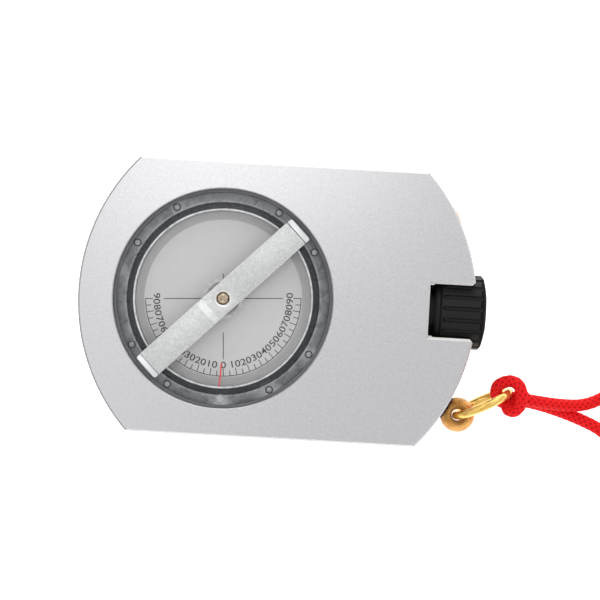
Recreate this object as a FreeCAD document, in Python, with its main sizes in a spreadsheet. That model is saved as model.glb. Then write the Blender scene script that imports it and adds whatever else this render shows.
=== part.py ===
"""Hand-held sighting inclinometer, lying on its back with the dial upwards.

Frame: the origin is the centre of the housing's round ends, on its back face. +Z comes out
of the dial, +X runs along the housing towards the eyepiece. Lengths are in millimetres and
angles in degrees.
"""
import FreeCAD
import Part
import math
import os
import Sketcher

Vector = FreeCAD.Vector

doc = FreeCAD.newDocument("Inclinometer")
sheet = doc.addObject("Spreadsheet::Sheet", "Sizes")

# ---------------------------------------------------------------------------------------
# Driving dimensions
# ---------------------------------------------------------------------------------------

SIZES = {
    # housing
    "body_width": 52.5,
    "body_end_radius": 38.05,
    "body_thickness": 15.0,
    "body_edge_chamfer": 0.35,
    "back_wall": 2.0,
    "capsule_offset": 10.4,
    "counterbore_radius": 21.0,
    "counterbore_ledge": 2.5,
    "counterbore_depth": 5.4,
    "counterbore_chamfer": 0.2,
    "notch_floor": 29.0,
    "notch_width": 10.2,
    "notch_chamfer": 0.5,
    "notch_mouth_flare": 0.7,
    # clearances between pieces
    "fit_gap": 0.03,
    "running_gap": 0.05,
    "free_gap": 0.3,
    # liquid capsule
    "capsule_wall": 0.9,
    "capsule_floor": 1.2,
    "window_thickness": 1.2,
    "window_recess": 2.0,
    "flange_half": 1.0,
    "seal_thickness": 0.4,
    "seal_lip": 0.55,
    "cover_boss_radius": 3.2,
    "cover_boss_foot": 3.85,
    "base_boss_radius": 2.0,
    "base_boss_height": 1.1,
    "flange_pin_radius": 0.65,
    "flange_pin_inset": 0.8,
    "flange_pin_height": 0.35,
    "flange_pin_pitch": 30.0,
    "fill_port_radius": 0.65,
    "fill_port_angle": -88.5,
    "fill_plug_brim": 0.25,
    "index_inset": 0.3,
    "index_length": 4.6,
    "index_width": 0.25,
    "index_depth": 0.12,
    "index_angle": -88.3,
    "index_slant": 4.0,
    # bearing bridge
    "bridge_width": 5.35,
    "bridge_thickness": 0.55,
    "bridge_recess": 0.2,
    "bridge_end_gap": 0.35,
    "bridge_web_gap": 0.15,
    "bridge_bend": 0.2,
    "bridge_corner": 0.45,
    "joggle_half": 3.1,
    "joggle_run": 1.4,
    "joggle_drop": 0.6,
    "bridge_angle": 45.0,
    # pivot screw and jewels
    "screw_radius": 1.1,
    "screw_recess": 0.1,
    "screw_sink": 0.35,
    "screw_slot_width": 0.3,
    "screw_slot_depth": 0.35,
    "jewel_radius": 0.7,
    "jewel_height": 0.8,
    "jewel_pit": 0.45,
    # dial card
    "card_clearance": 0.5,
    "card_rim_width": 1.7,
    "card_rim_drop": 0.7,
    "card_sheet": 0.5,
    "card_depth": 5.4,
    "card_below_window": 1.2,
    "card_plumb_angle": 3.25,
    "scale_band_thickness": 0.12,
    "scale_band_height": 3.8,
    "hub_radius": 1.5,
    "hub_flange_radius": 2.6,
    "hub_flange_height": 0.8,
    "hub_length": 2.4,
    "axle_radius": 0.4,
    "axle_point": 0.6,
    "weight_inset": 0.5,
    "weight_width": 6.6,
    "weight_height": 1.8,
    "weight_angle": 120.0,
    # sight line from the card's edge to the eye
    "channel_radius": 3.2,
    "graticule_seat": 15.0,
    "graticule_radius": 3.7,
    "graticule_thickness": 1.0,
    "graticule_ring_height": 1.0,
    "graticule_ring_bore": 3.0,
    "bush_seat": 19.0,
    "bush_radius": 6.0,
    "thread_radius": 5.0,
    # eyepiece
    "focus_gap": 1.15,
    "shank_reach": 7.5,
    "knob_radius": 7.15,
    "knob_gap": 0.35,
    "knob_collar_radius": 6.3,
    "knob_collar_step": 0.3,
    "knob_collar_length": 0.45,
    "knob_bevel_end": 1.35,
    "knob_rim": 8.75,
    "knob_rim_chamfer": 0.7,
    "knob_rim_round": 0.56,
    "knob_length": 9.95,
    "knob_rib_count": 20,
    "knob_groove_radius": 0.42,
    "knob_groove_start": 1.95,
    "knob_groove_length": 7.6,
    "knob_groove_turn": 4.5,
    "eye_opening_radius": 2.9,
    "eye_recess_depth": 1.6,
    "eye_recess_flare": 0.6,
    "ring_groove_start": 3.6,
    "ring_groove_depth": 0.75,
    "o_ring_wire": 0.38,
    "cell_radius": 3.75,
    "cell_wall": 0.55,
    "cell_length": 13.5,
    "cell_lip": 0.35,
    "lens_edge": 1.2,
    "lens_land": 0.65,
    "lens_bulge": 0.45,
    "lens_retainer_height": 1.0,
    "lens_retainer_wall": 0.5,
    # lanyard stud, ring and plug
    "stud_edge_gap": 7.85,
    "stud_reach": 2.86,
    "stud_ball_radius": 3.35,
    "stud_neck_radius": 1.7,
    "stud_cone_length": 1.0,
    "stud_shoulder_radius": 2.5,
    "stud_shank_radius": 1.5,
    "stud_shank_length": 6.0,
    "spot_depth": 0.15,
    "stud_hole_radius": 1.1,
    "stud_hole_flare": 1.25,
    "stud_hole_throat": 0.6,
    "ring_radius": 5.45,
    "ring_wire": 0.8,
    "ring_direction": 27.0,
    "ring_tilt": 8.0,
    "plug_radius": 2.5,
    "plug_shank_radius": 2.0,
    "plug_shank_length": 4.0,
    "plug_dome": 0.8,
    # cord
    "cord_radius": 1.2,
    "knot_long": 3.75,
    "knot_short": 3.4,
    "knot_height": 2.9,
    "knot_gap": 0.12,
    "coil_ahead": 46.8,
    "coil_aside": 2.5,
    "coil_mean_radius": 14.0,
    "coil_rows": 4,
    "coil_layer_rise": 2.3,
    "coil_stub": 9.5,
    "coil_bevel": 0.72,
    "tie_thickness": 0.5,
    "tie_width": 3.0,
    "tie_angle": -60.0,
}

for row, (alias, number) in enumerate(SIZES.items(), start=1):
    sheet.set(f"A{row}", alias)
    sheet.set(f"B{row}", str(number))
    sheet.setAlias(f"B{row}", alias)
doc.recompute()


def size(expression):
    """The value in millimetres or degrees of an expression over the sheet's aliases."""
    return float(sheet.evalExpression(expression))


# Levels and places that several pieces share, as expressions over the sheet.
MID_Z = "(Sizes.body_thickness / 2)"
CAPSULE_X = "(-Sizes.capsule_offset)"
STEP_Z = "(Sizes.body_thickness - Sizes.counterbore_depth)"
FLANGE_LOW = f"({STEP_Z} + Sizes.seal_thickness)"
FLANGE_MID = f"({FLANGE_LOW} + Sizes.flange_half)"
FLANGE_TOP = f"({FLANGE_MID} + Sizes.flange_half)"
FLANGE_RADIUS = "(Sizes.counterbore_radius - Sizes.seal_lip - 2 * Sizes.running_gap)"
PIN_CIRCLE = f"({FLANGE_RADIUS} - Sizes.flange_pin_inset)"
BORE_RADIUS = "(Sizes.counterbore_radius - Sizes.counterbore_ledge)"
CAN_OUTER = f"({BORE_RADIUS} - Sizes.free_gap)"
CAN_INNER = f"({CAN_OUTER} - Sizes.capsule_wall)"
CARD_RIM = f"({CAN_INNER} - Sizes.card_clearance)"
CARD_FLAT = f"({CARD_RIM} - Sizes.card_rim_width)"
WEIGHT_OUTER = f"({CARD_FLAT} - Sizes.weight_inset)"
WEIGHT_INNER = f"({WEIGHT_OUTER} - Sizes.weight_width)"
INDEX_INNER = f"({CAN_INNER} - Sizes.index_inset - Sizes.index_length)"
BASE_LOW = "(Sizes.back_wall + Sizes.free_gap)"
BASE_FLOOR = f"({BASE_LOW} + Sizes.capsule_floor)"
BASE_BOSS_TOP = f"({BASE_FLOOR} + Sizes.base_boss_height)"
WINDOW_TOP = "(Sizes.body_thickness - Sizes.window_recess)"
WINDOW_LOW = f"({WINDOW_TOP} - Sizes.window_thickness)"
CARD_TOP = f"({WINDOW_LOW} - Sizes.card_below_window)"
CARD_UNDER = f"({CARD_TOP} - Sizes.card_sheet)"
CARD_LOW = f"({CARD_TOP} - Sizes.card_depth)"
BRIDGE_TOP = "(Sizes.body_thickness - Sizes.bridge_recess)"
BRIDGE_UNDER = f"({BRIDGE_TOP} - Sizes.bridge_thickness)"
JOGGLE_TOP = f"({BRIDGE_TOP} - Sizes.joggle_drop)"
JOGGLE_UNDER = f"({JOGGLE_TOP} - Sizes.bridge_thickness)"
SCREW_TOP = f"({JOGGLE_TOP} - Sizes.screw_recess)"
SCREW_LOW = f"({WINDOW_LOW} - Sizes.running_gap)"
JEWEL_BORE = "(Sizes.jewel_radius + Sizes.fit_gap)"
AXLE_LOW = f"({BASE_BOSS_TOP} - Sizes.jewel_pit + Sizes.running_gap)"
AXLE_TOP = f"({SCREW_LOW} + Sizes.jewel_pit - Sizes.running_gap)"
KNOB_BACK = "(Sizes.notch_floor + Sizes.focus_gap)"
SHANK_END = "(Sizes.notch_floor - Sizes.shank_reach)"
SHANK_RADIUS = "(Sizes.thread_radius - Sizes.running_gap)"
CELL_BORE = "(Sizes.cell_radius - Sizes.cell_wall)"
CELL_FRONT = f"({KNOB_BACK} + Sizes.knob_length - Sizes.eye_recess_depth - Sizes.running_gap * 2)"
LENS_FRONT = f"({CELL_FRONT} - Sizes.cell_lip - Sizes.fit_gap)"
GROOVE_END = f"({SHANK_END} + Sizes.ring_groove_start)"
GROOVE_WIDTH = "(2 * Sizes.o_ring_wire + 4 * Sizes.running_gap)"
STUD_OUT = "(Sizes.body_width / 2 - Sizes.stud_edge_gap)"
STUD_ANGLE = f"asin({STUD_OUT} / Sizes.body_end_radius)"
BALL_CENTRE = "(Sizes.body_end_radius + Sizes.stud_reach)"
BALL_X = f"({BALL_CENTRE} * cos({STUD_ANGLE}))"
BALL_Y = f"(-{BALL_CENTRE} * sin({STUD_ANGLE}))"
SPOT_X = "(Sizes.body_end_radius - Sizes.spot_depth)"
FILL_CIRCLE = f"(({CAN_OUTER} + {FLANGE_RADIUS}) / 2)"
FILL_X = f"({CAPSULE_X} + {FILL_CIRCLE} * cos(Sizes.fill_port_angle))"
FILL_Y = f"({FILL_CIRCLE} * sin(Sizes.fill_port_angle))"


# ---------------------------------------------------------------------------------------
# Helpers
# ---------------------------------------------------------------------------------------

def bind(thing, **expressions):
    """Bind an object's properties to expressions; a double underscore stands for a dot."""
    for name, expression in expressions.items():
        thing.setExpression(name.replace("__", "."), str(expression))
    return thing


def place(thing, x="0", y="0", z="0", turn="0"):
    """Put an object at a point, turned about Z."""
    point = f"vector({x}; {y}; {z})"
    thing.setExpression("Placement", f"placement({point}; rotation(vector(0; 0; 1); {turn}))")
    return thing


def new_body(label):
    """An empty body with a label."""
    body = doc.addObject("PartDesign::Body", label)
    body.Label = label
    return body


def sketch_on(body, plane, name, lift="0"):
    """A sketch on one of the body's own origin planes, lifted along the plane's normal."""
    sketch = body.newObject("Sketcher::SketchObject", name)
    support = next(o for o in body.Origin.OriginFeatures if o.Role == plane)
    sketch.AttachmentSupport = [(support, "")]
    sketch.MapMode = "FlatFace"
    sketch.setExpression("AttachmentOffset.Base.z", lift)
    return sketch


def hold_point(sketch, edge, end, x, y):
    """Tie an edge's end point to a place given by two expressions."""
    for expression, kind, axis in ((x, "DistanceX", -2), (y, "DistanceY", -1)):
        value = size(expression)
        if abs(value) < 1e-9:
            sketch.addConstraint(Sketcher.Constraint("PointOnObject", edge, end, axis))
            continue
        number = sketch.addConstraint(Sketcher.Constraint(kind, -1, 1, edge, end, value))
        sketch.setExpression(f"Constraints[{number}]", expression)


def arc_about_axis(start, end, along):
    """An arc from start to end whose centre is on the sketch's axis, and its start's end number."""
    k = 0 if along == "H_Axis" else 1
    gap = 2 * (start[k] - end[k])
    middle = (start[0] ** 2 + start[1] ** 2 - end[0] ** 2 - end[1] ** 2) / gap
    centre = Vector(middle, 0, 0) if k == 0 else Vector(0, middle, 0)
    first = math.atan2(start[1] - centre.y, start[0] - centre.x)
    last = math.atan2(end[1] - centre.y, end[0] - centre.x)
    radius = (Vector(start[0], start[1], 0) - centre).Length
    circle = Part.Circle(centre, Vector(0, 0, 1), radius)
    if (last - first) % (2 * math.pi) < math.pi:
        return Part.ArcOfCircle(circle, first, last), 1
    return Part.ArcOfCircle(circle, last, first), 2


def outline(sketch, points, along="V_Axis"):
    """A closed outline. A point (x, y, "arc") starts an arc centred on the turning axis."""
    corners = [(size(p[0]), size(p[1])) for p in points]
    starts = []
    for k, point in enumerate(points):
        here, there = corners[k], corners[(k + 1) % len(points)]
        if len(point) == 3:
            edge, start = arc_about_axis(here, there, along)
        else:
            edge, start = Part.LineSegment(Vector(*here, 0), Vector(*there, 0)), 1
        sketch.addGeometry(edge, False)
        starts.append(start)
    for k, point in enumerate(points):
        following = (k + 1) % len(points)
        join = (k, 3 - starts[k], following, starts[following])
        sketch.addConstraint(Sketcher.Constraint("Coincident", *join))
        if len(point) == 3:
            axis = -1 if along == "H_Axis" else -2
            sketch.addConstraint(Sketcher.Constraint("PointOnObject", k, 3, axis))
    for k, point in enumerate(points):
        hold_point(sketch, k, starts[k], point[0], point[1])


def turned(label, points, along="V_Axis", sweep=None):
    """A body turned from an outline in the XZ plane, about Z (V_Axis) or X (H_Axis)."""
    body = new_body(label)
    sketch = sketch_on(body, "XZ_Plane", label + "_outline")
    outline(sketch, points, along)
    doc.recompute()
    turn = body.newObject("PartDesign::Revolution", label + "_turn")
    turn.Profile = sketch
    turn.ReferenceAxis = (sketch, [along])
    if sweep:
        turn.Midplane = True
        turn.setExpression("Angle", sweep)
    return body


def pocket(body, sketch, depth, name):
    """Cut a sketch into a body, downwards from the sketch's own side."""
    before = body.Shape.Volume
    cut = body.newObject("PartDesign::Pocket", name)
    cut.Profile = sketch
    cut.setExpression("Length", depth)
    doc.recompute()
    if body.Shape.Volume > before - 1e-6:
        raise RuntimeError(f"{name} cuts nothing")
    return cut


def edges_where(shape, test):
    """The names of the edges whose whole length passes a test on their points."""
    found = []
    for k, edge in enumerate(shape.Edges, start=1):
        if all(test(p) for p in edge.discretize(5)):
            found.append(f"Edge{k}")
    return found


def chamfer(body, feature, names, width, name):
    """Chamfer some of a feature's edges."""
    cut = body.newObject("PartDesign::Chamfer", name)
    cut.Base = (feature, names)
    cut.setExpression("Size", width)
    doc.recompute()
    return cut


def cylinder(label, radius, height, x="0", y="0", z="0", turn="0", lying=False):
    """A cylinder along Z, or lying along its own +X, turned about Z."""
    rod = doc.addObject("Part::Cylinder", label)
    bind(rod, Radius=radius, Height=height)
    rotation = f"rotation(vector(0; 0; 1); {turn})"
    if lying:
        rotation += " * rotation(vector(0; 1; 0); 90)"
    rod.setExpression("Placement", f"placement(vector({x}; {y}; {z}); {rotation})")
    return rod


def joined(label, pieces):
    """One solid from several that overlap."""
    fuse = doc.addObject("Part::MultiFuse", label)
    fuse.Shapes = pieces
    fuse.Label = label
    return fuse


def cut_from(label, base, tools):
    """A solid with others taken away from it."""
    tool = tools[0] if len(tools) == 1 else joined(label + "_tools", tools)
    cut = doc.addObject("Part::Cut", label)
    cut.Base = base
    cut.Tool = tool
    cut.Label = label
    return cut


# ---------------------------------------------------------------------------------------
# Housing
# ---------------------------------------------------------------------------------------

def housing_block():
    """The milled block: rounded ends, edge chamfers, capsule bores and the notch."""
    body = new_body("housing_block")
    plan = sketch_on(body, "XY_Plane", "housing_plan")
    radius, half = size("Sizes.body_end_radius"), size("Sizes.body_width / 2")
    corner = math.asin(half / radius)
    circle = Part.Circle(Vector(0, 0, 0), Vector(0, 0, 1), radius)
    reach = radius * math.cos(corner)
    plan.addGeometry(Part.ArcOfCircle(circle, -corner, corner), False)
    plan.addGeometry(Part.LineSegment(Vector(reach, half, 0), Vector(-reach, half, 0)), False)
    plan.addGeometry(Part.ArcOfCircle(circle, math.pi - corner, math.pi + corner), False)
    plan.addGeometry(Part.LineSegment(Vector(-reach, -half, 0), Vector(reach, -half, 0)), False)
    for k in range(4):
        plan.addConstraint(Sketcher.Constraint("Coincident", k, 2, (k + 1) % 4, 1))
    plan.addConstraint(Sketcher.Constraint("Coincident", 0, 3, -1, 1))
    plan.addConstraint(Sketcher.Constraint("Coincident", 2, 3, -1, 1))
    plan.addConstraint(Sketcher.Constraint("Horizontal", 1))
    plan.addConstraint(Sketcher.Constraint("Horizontal", 3))
    number = plan.addConstraint(Sketcher.Constraint("Radius", 0, radius))
    plan.setExpression(f"Constraints[{number}]", "Sizes.body_end_radius")
    for edge, sign in ((1, ""), (3, "-")):
        held = Sketcher.Constraint("DistanceY", -1, 1, edge, 1, half if edge == 1 else -half)
        plan.setExpression(f"Constraints[{plan.addConstraint(held)}]", f"{sign}Sizes.body_width / 2")
    doc.recompute()
    pad = body.newObject("PartDesign::Pad", "housing_pad")
    pad.Profile = plan
    pad.setExpression("Length", "Sizes.body_thickness")
    doc.recompute()
    top = size("Sizes.body_thickness")
    rims = edges_where(pad.Shape, lambda p: abs(p.z) < 1e-6 or abs(p.z - top) < 1e-6)
    chamfer(body, pad, rims, "Sizes.body_edge_chamfer", "housing_edges")

    for name, reach, depth in (
        ("capsule_bore", BORE_RADIUS, "Sizes.body_thickness - Sizes.back_wall"),
        ("counterbore", "Sizes.counterbore_radius", "Sizes.counterbore_depth"),
    ):
        sketch = sketch_on(body, "XY_Plane", name + "_circle", "Sizes.body_thickness")
        ring = Part.Circle(Vector(size(CAPSULE_X), 0, 0), Vector(0, 0, 1), size(reach))
        sketch.addGeometry(ring, False)
        number = sketch.addConstraint(Sketcher.Constraint("Radius", 0, size(reach)))
        sketch.setExpression(f"Constraints[{number}]", reach)
        hold_point(sketch, 0, 3, CAPSULE_X, "0")
        last = pocket(body, sketch, depth, name)

    bore = size("Sizes.counterbore_radius")
    centre = Vector(size(CAPSULE_X), 0, top)
    mouth = edges_where(last.Shape, lambda p: abs((p - centre).Length - bore) < 1e-3)
    chamfer(body, last, mouth, "Sizes.counterbore_chamfer", "counterbore_edge")

    slot = sketch_on(body, "XY_Plane", "notch_outline", "Sizes.body_thickness")
    half_slot = "Sizes.notch_width / 2"
    mouth_x = f"sqrt(Sizes.body_end_radius^2 - ({half_slot})^2)"
    flare_x = f"({mouth_x} - Sizes.notch_mouth_flare)"
    flared = f"({half_slot} + Sizes.notch_mouth_flare * 2)"
    beyond = f"({mouth_x} + Sizes.notch_mouth_flare)"
    outline(slot, [
        ("Sizes.notch_floor", f"-({half_slot})"),
        (flare_x, f"-({half_slot})"),
        (beyond, f"-{flared}"),
        (beyond, flared),
        (flare_x, half_slot),
        ("Sizes.notch_floor", half_slot),
    ])
    cut = pocket(body, slot, "Sizes.body_thickness", "notch")
    half_width, last_x = size(half_slot), size(flare_x)
    walls = edges_where(cut.Shape, lambda p: (
        abs(abs(p.y) - half_width) < 1e-6
        and p.x < last_x + 1e-6
        and (abs(p.z) < 1e-6 or abs(p.z - top) < 1e-6)
    ))
    chamfer(body, cut, walls, "Sizes.notch_chamfer", "notch_edges")
    return body


def radial_hole(label, radius, start, length, turn):
    """A hole tool along a radius of the housing's round end, at mid thickness."""
    x, y = f"({start}) * cos({turn})", f"({start}) * sin({turn})"
    return cylinder(label, radius, length, x, y, MID_Z, turn, lying=True)


def make_housing():
    """The housing: its block with the sight channel, eyepiece bores, stud and plug holes."""
    over = "(Sizes.body_end_radius)"
    spot = f"{over} - ({SPOT_X})"
    stud, plug = f"(-{STUD_ANGLE})", STUD_ANGLE
    tools = [
        cylinder("channel_bore", "Sizes.channel_radius",
                 f"Sizes.graticule_seat - ({CAPSULE_X})", CAPSULE_X, "0", MID_Z, lying=True),
        cylinder("graticule_bore", "Sizes.graticule_radius + Sizes.fit_gap",
                 "Sizes.bush_seat - Sizes.graticule_seat + Sizes.fit_gap",
                 "Sizes.graticule_seat", "0", MID_Z, lying=True),
        cylinder("bush_bore", "Sizes.bush_radius + Sizes.fit_gap",
                 "Sizes.notch_floor - Sizes.bush_seat + Sizes.fit_gap",
                 "Sizes.bush_seat", "0", MID_Z, lying=True),
        cylinder("knob_bore", "Sizes.knob_radius + Sizes.knob_gap",
                 f"{over} - Sizes.notch_floor", "Sizes.notch_floor", "0", MID_Z, lying=True),
        radial_hole("stud_hole", "Sizes.stud_shank_radius + Sizes.fit_gap",
                    f"{SPOT_X} - Sizes.stud_shank_length - Sizes.free_gap",
                    "Sizes.stud_shank_length + Sizes.free_gap * 2", stud),
        radial_hole("stud_spot", "Sizes.stud_ball_radius", SPOT_X, spot, stud),
        radial_hole("plug_hole", "Sizes.plug_shank_radius + Sizes.fit_gap",
                    f"{SPOT_X} - Sizes.plug_shank_length - Sizes.free_gap",
                    "Sizes.plug_shank_length + Sizes.free_gap * 2", plug),
        radial_hole("plug_spot", "Sizes.plug_radius + Sizes.fit_gap", SPOT_X, spot, plug),
    ]
    return cut_from("housing", housing_block(), tools)


# ---------------------------------------------------------------------------------------
# Liquid capsule
# ---------------------------------------------------------------------------------------

def make_capsule_base():
    """The clear cup that holds the liquid, with the rear jewel's seat in its floor."""
    return place(turned("capsule_base", [
        ("0", BASE_LOW),
        (CAN_OUTER, BASE_LOW),
        (CAN_OUTER, FLANGE_LOW),
        (FLANGE_RADIUS, FLANGE_LOW),
        (FLANGE_RADIUS, FLANGE_MID),
        (CAN_INNER, FLANGE_MID),
        (CAN_INNER, BASE_FLOOR),
        ("Sizes.base_boss_radius", BASE_FLOOR),
        ("Sizes.base_boss_radius", BASE_BOSS_TOP),
        (JEWEL_BORE, BASE_BOSS_TOP),
        (JEWEL_BORE, f"{BASE_BOSS_TOP} - Sizes.jewel_height"),
        ("0", f"{BASE_BOSS_TOP} - Sizes.jewel_height"),
    ]), CAPSULE_X)


def make_capsule_cover():
    """The clear hat: window, wall, flange with pins, centre boss and filling port."""
    hat = place(turned("cover_hat", [
        ("Sizes.screw_radius + Sizes.fit_gap", WINDOW_LOW),
        (CAN_INNER, WINDOW_LOW),
        (CAN_INNER, FLANGE_MID),
        (FLANGE_RADIUS, FLANGE_MID),
        (FLANGE_RADIUS, FLANGE_TOP),
        (CAN_OUTER, FLANGE_TOP),
        (CAN_OUTER, WINDOW_TOP),
        ("Sizes.cover_boss_foot", WINDOW_TOP),
        ("Sizes.cover_boss_radius", JOGGLE_UNDER),
        ("Sizes.screw_radius + Sizes.fit_gap", JOGGLE_UNDER),
    ]), CAPSULE_X)
    pins = []
    places = round(360 / size("Sizes.flange_pin_pitch"))
    quarter = places // 4
    for k in range(places):
        if k % quarter == 0:
            continue
        angle = f"({k} * Sizes.flange_pin_pitch)"
        x = f"{CAPSULE_X} + {PIN_CIRCLE} * cos({angle})"
        y = f"{PIN_CIRCLE} * sin({angle})"
        height = "Sizes.flange_half / 2 + Sizes.flange_pin_height"
        base = f"{FLANGE_TOP} - Sizes.flange_half / 2"
        pins.append(cylinder(f"flange_pin_{k}", "Sizes.flange_pin_radius", height, x, y, base))
    port = cylinder("fill_port", "Sizes.fill_port_radius", "Sizes.flange_half * 2",
                    FILL_X, FILL_Y, FLANGE_MID)
    groove = index_bar("index_groove")
    return cut_from("capsule_cover", joined("cover_with_pins", [hat] + pins), [port, groove])


def index_bar(label):
    """The thin bar of the index line, under the window, a little off the radius."""
    bar = doc.addObject("Part::Box", label)
    bind(bar, Length="Sizes.index_length", Width="Sizes.index_width",
         Height="Sizes.index_depth")
    x = f"{CAPSULE_X} + {INDEX_INNER} * cos(Sizes.index_angle)"
    y = f"{INDEX_INNER} * sin(Sizes.index_angle)"
    turn = "rotation(vector(0; 0; 1); Sizes.index_angle - Sizes.index_slant)"
    shift = "placement(vector(0; -Sizes.index_width / 2; 0); rotation(vector(0; 0; 1); 0))"
    bar.setExpression("Placement", f"placement(vector({x}; {y}; {WINDOW_LOW}); {turn}) * {shift}")
    return bar


def make_index_line():
    """The red index line, let into the underside of the window."""
    line = index_bar("index_line")
    line.Label = "index_line"
    return line


def make_fill_plug():
    """The plug that closes the filling port, with a low head on the flange."""
    shank = "Sizes.fill_port_radius - Sizes.fit_gap"
    head = "Sizes.fill_port_radius + Sizes.fill_plug_brim"
    return place(turned("fill_plug", [
        ("0", FLANGE_MID),
        (shank, FLANGE_MID),
        (shank, FLANGE_TOP),
        (head, FLANGE_TOP),
        ("Sizes.fill_port_radius", f"{FLANGE_TOP} + Sizes.fill_plug_brim"),
        ("0", f"{FLANGE_TOP} + Sizes.fill_plug_brim"),
    ]), FILL_X, FILL_Y)


def make_capsule_seal():
    """The rubber ring under and around the capsule's flange."""
    outer = "Sizes.counterbore_radius - Sizes.running_gap"
    lip = f"{FLANGE_RADIUS} + Sizes.running_gap"
    return place(turned("capsule_seal", [
        (f"{BORE_RADIUS} + Sizes.running_gap", STEP_Z),
        (outer, STEP_Z),
        (outer, FLANGE_TOP),
        (lip, FLANGE_TOP),
        (lip, FLANGE_LOW),
        (f"{BORE_RADIUS} + Sizes.running_gap", FLANGE_LOW),
    ]), CAPSULE_X)


def jewel(label, pit_z, back_z):
    """A round jewel with a conical pit, from its pit's face to its back."""
    sign = "1" if size(back_z) > size(pit_z) else "-1"
    return place(turned(label, [
        ("0", back_z),
        ("Sizes.jewel_radius", back_z),
        ("Sizes.jewel_radius", pit_z),
        ("Sizes.jewel_pit", pit_z),
        ("0", f"{pit_z} + {sign} * Sizes.jewel_pit"),
    ]), CAPSULE_X)


def make_bridge():
    """The strip across the capsule: two feet on the flange and a joggled centre."""
    body = new_body("bridge_blank")
    side = sketch_on(body, "XZ_Plane", "bridge_side")
    end = f"({FLANGE_RADIUS} - Sizes.bridge_end_gap)"
    foot = f"({CAN_OUTER} + Sizes.bridge_web_gap + Sizes.bridge_thickness)"
    web = f"({foot} - Sizes.bridge_bend)"
    sole, foot_top = FLANGE_TOP, f"({FLANGE_TOP} + Sizes.bridge_thickness)"
    slope = "(Sizes.joggle_half + Sizes.joggle_run)"
    lean = "(Sizes.bridge_thickness * tan(atan(Sizes.joggle_drop / Sizes.joggle_run) / 2))"
    half = [
        ("Sizes.joggle_half", JOGGLE_TOP),
        (slope, BRIDGE_TOP),
        (web, BRIDGE_TOP),
        (foot, foot_top),
        (end, foot_top),
        (end, sole),
        (f"{foot} - Sizes.bridge_thickness", sole),
        (f"{web} - Sizes.bridge_thickness", BRIDGE_UNDER),
        (f"{slope} + {lean}", BRIDGE_UNDER),
        (f"Sizes.joggle_half + {lean}", JOGGLE_UNDER),
    ]
    other = [(f"-({x})", z) for x, z in reversed(half)]
    outline(side, half + other)
    doc.recompute()
    pad = body.newObject("PartDesign::Pad", "bridge_strip")
    pad.Profile = side
    pad.Midplane = True
    pad.setExpression("Length", "Sizes.bridge_width")
    doc.recompute()
    reach = size(end)
    corners = edges_where(pad.Shape, lambda p: abs(abs(p.x) - reach) < 1e-6)
    corners = [n for n in corners if is_upright(pad.Shape, n)]
    fillet = body.newObject("PartDesign::Fillet", "bridge_corners")
    fillet.Base = (pad, corners)
    fillet.setExpression("Radius", "Sizes.bridge_corner")
    doc.recompute()
    place(body, CAPSULE_X, turn="Sizes.bridge_angle")
    hole = "Sizes.screw_radius + Sizes.fit_gap"
    tool = place(turned("bridge_hole", [
        ("0", f"{JOGGLE_UNDER} - Sizes.free_gap"),
        (hole, f"{JOGGLE_UNDER} - Sizes.free_gap"),
        (hole, f"{JOGGLE_TOP} - Sizes.screw_sink"),
        (f"{hole} + Sizes.screw_sink", JOGGLE_TOP),
        (f"{hole} + Sizes.screw_sink", BRIDGE_TOP),
        ("0", BRIDGE_TOP),
    ]), CAPSULE_X)
    return cut_from("bearing_bridge", body, [tool])


def is_upright(shape, name):
    """Whether a named edge runs along Z."""
    edge = shape.getElement(name)
    ends = edge.Vertexes
    return len(ends) == 2 and abs(ends[0].Point.z - ends[1].Point.z) > edge.Length * 0.99


def make_pivot_screw():
    """The cross-slotted screw that carries the front jewel in its tip."""
    blank = place(turned("screw_blank", [
        (JEWEL_BORE, SCREW_LOW),
        ("Sizes.screw_radius", SCREW_LOW),
        ("Sizes.screw_radius", SCREW_TOP),
        ("0", SCREW_TOP),
        ("0", f"{SCREW_LOW} + Sizes.jewel_height"),
        (JEWEL_BORE, f"{SCREW_LOW} + Sizes.jewel_height"),
    ]), CAPSULE_X)
    slots = []
    for name, turn in (("screw_slot_a", "Sizes.bridge_angle"), ("screw_slot_b", "Sizes.bridge_angle + 90")):
        slot = doc.addObject("Part::Box", name)
        bind(slot, Length="Sizes.screw_radius * 2", Width="Sizes.screw_slot_width",
             Height="Sizes.screw_slot_depth + Sizes.free_gap")
        turned_to = f"rotation(vector(0; 0; 1); {turn})"
        centre = "placement(vector(-Sizes.screw_radius; -Sizes.screw_slot_width / 2; 0);"
        slot.setExpression("Placement", (
            f"placement(vector({CAPSULE_X}; 0; {SCREW_TOP} - Sizes.screw_slot_depth); {turned_to})"
            f" * {centre} rotation(vector(0; 0; 1); 0))"
        ))
        slots.append(slot)
    return cut_from("pivot_screw", blank, slots)


# ---------------------------------------------------------------------------------------
# Dial card
# ---------------------------------------------------------------------------------------

def make_dial_card():
    """The dial: a flat disc with a sloped rim and a skirt that carries the edge scale."""
    rim_z = f"({CARD_TOP} - Sizes.card_rim_drop)"
    inner = f"({CARD_RIM} - Sizes.card_sheet)"
    hole = "Sizes.hub_radius + Sizes.fit_gap"
    return place(turned("dial_card", [
        (hole, CARD_UNDER),
        (hole, CARD_TOP),
        (CARD_FLAT, CARD_TOP),
        (CARD_RIM, rim_z),
        (CARD_RIM, CARD_LOW),
        (inner, CARD_LOW),
        (inner, f"{rim_z} - Sizes.card_sheet"),
        (f"{CARD_FLAT} - Sizes.card_sheet", CARD_UNDER),
    ]), CAPSULE_X, turn="Sizes.card_plumb_angle")


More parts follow.
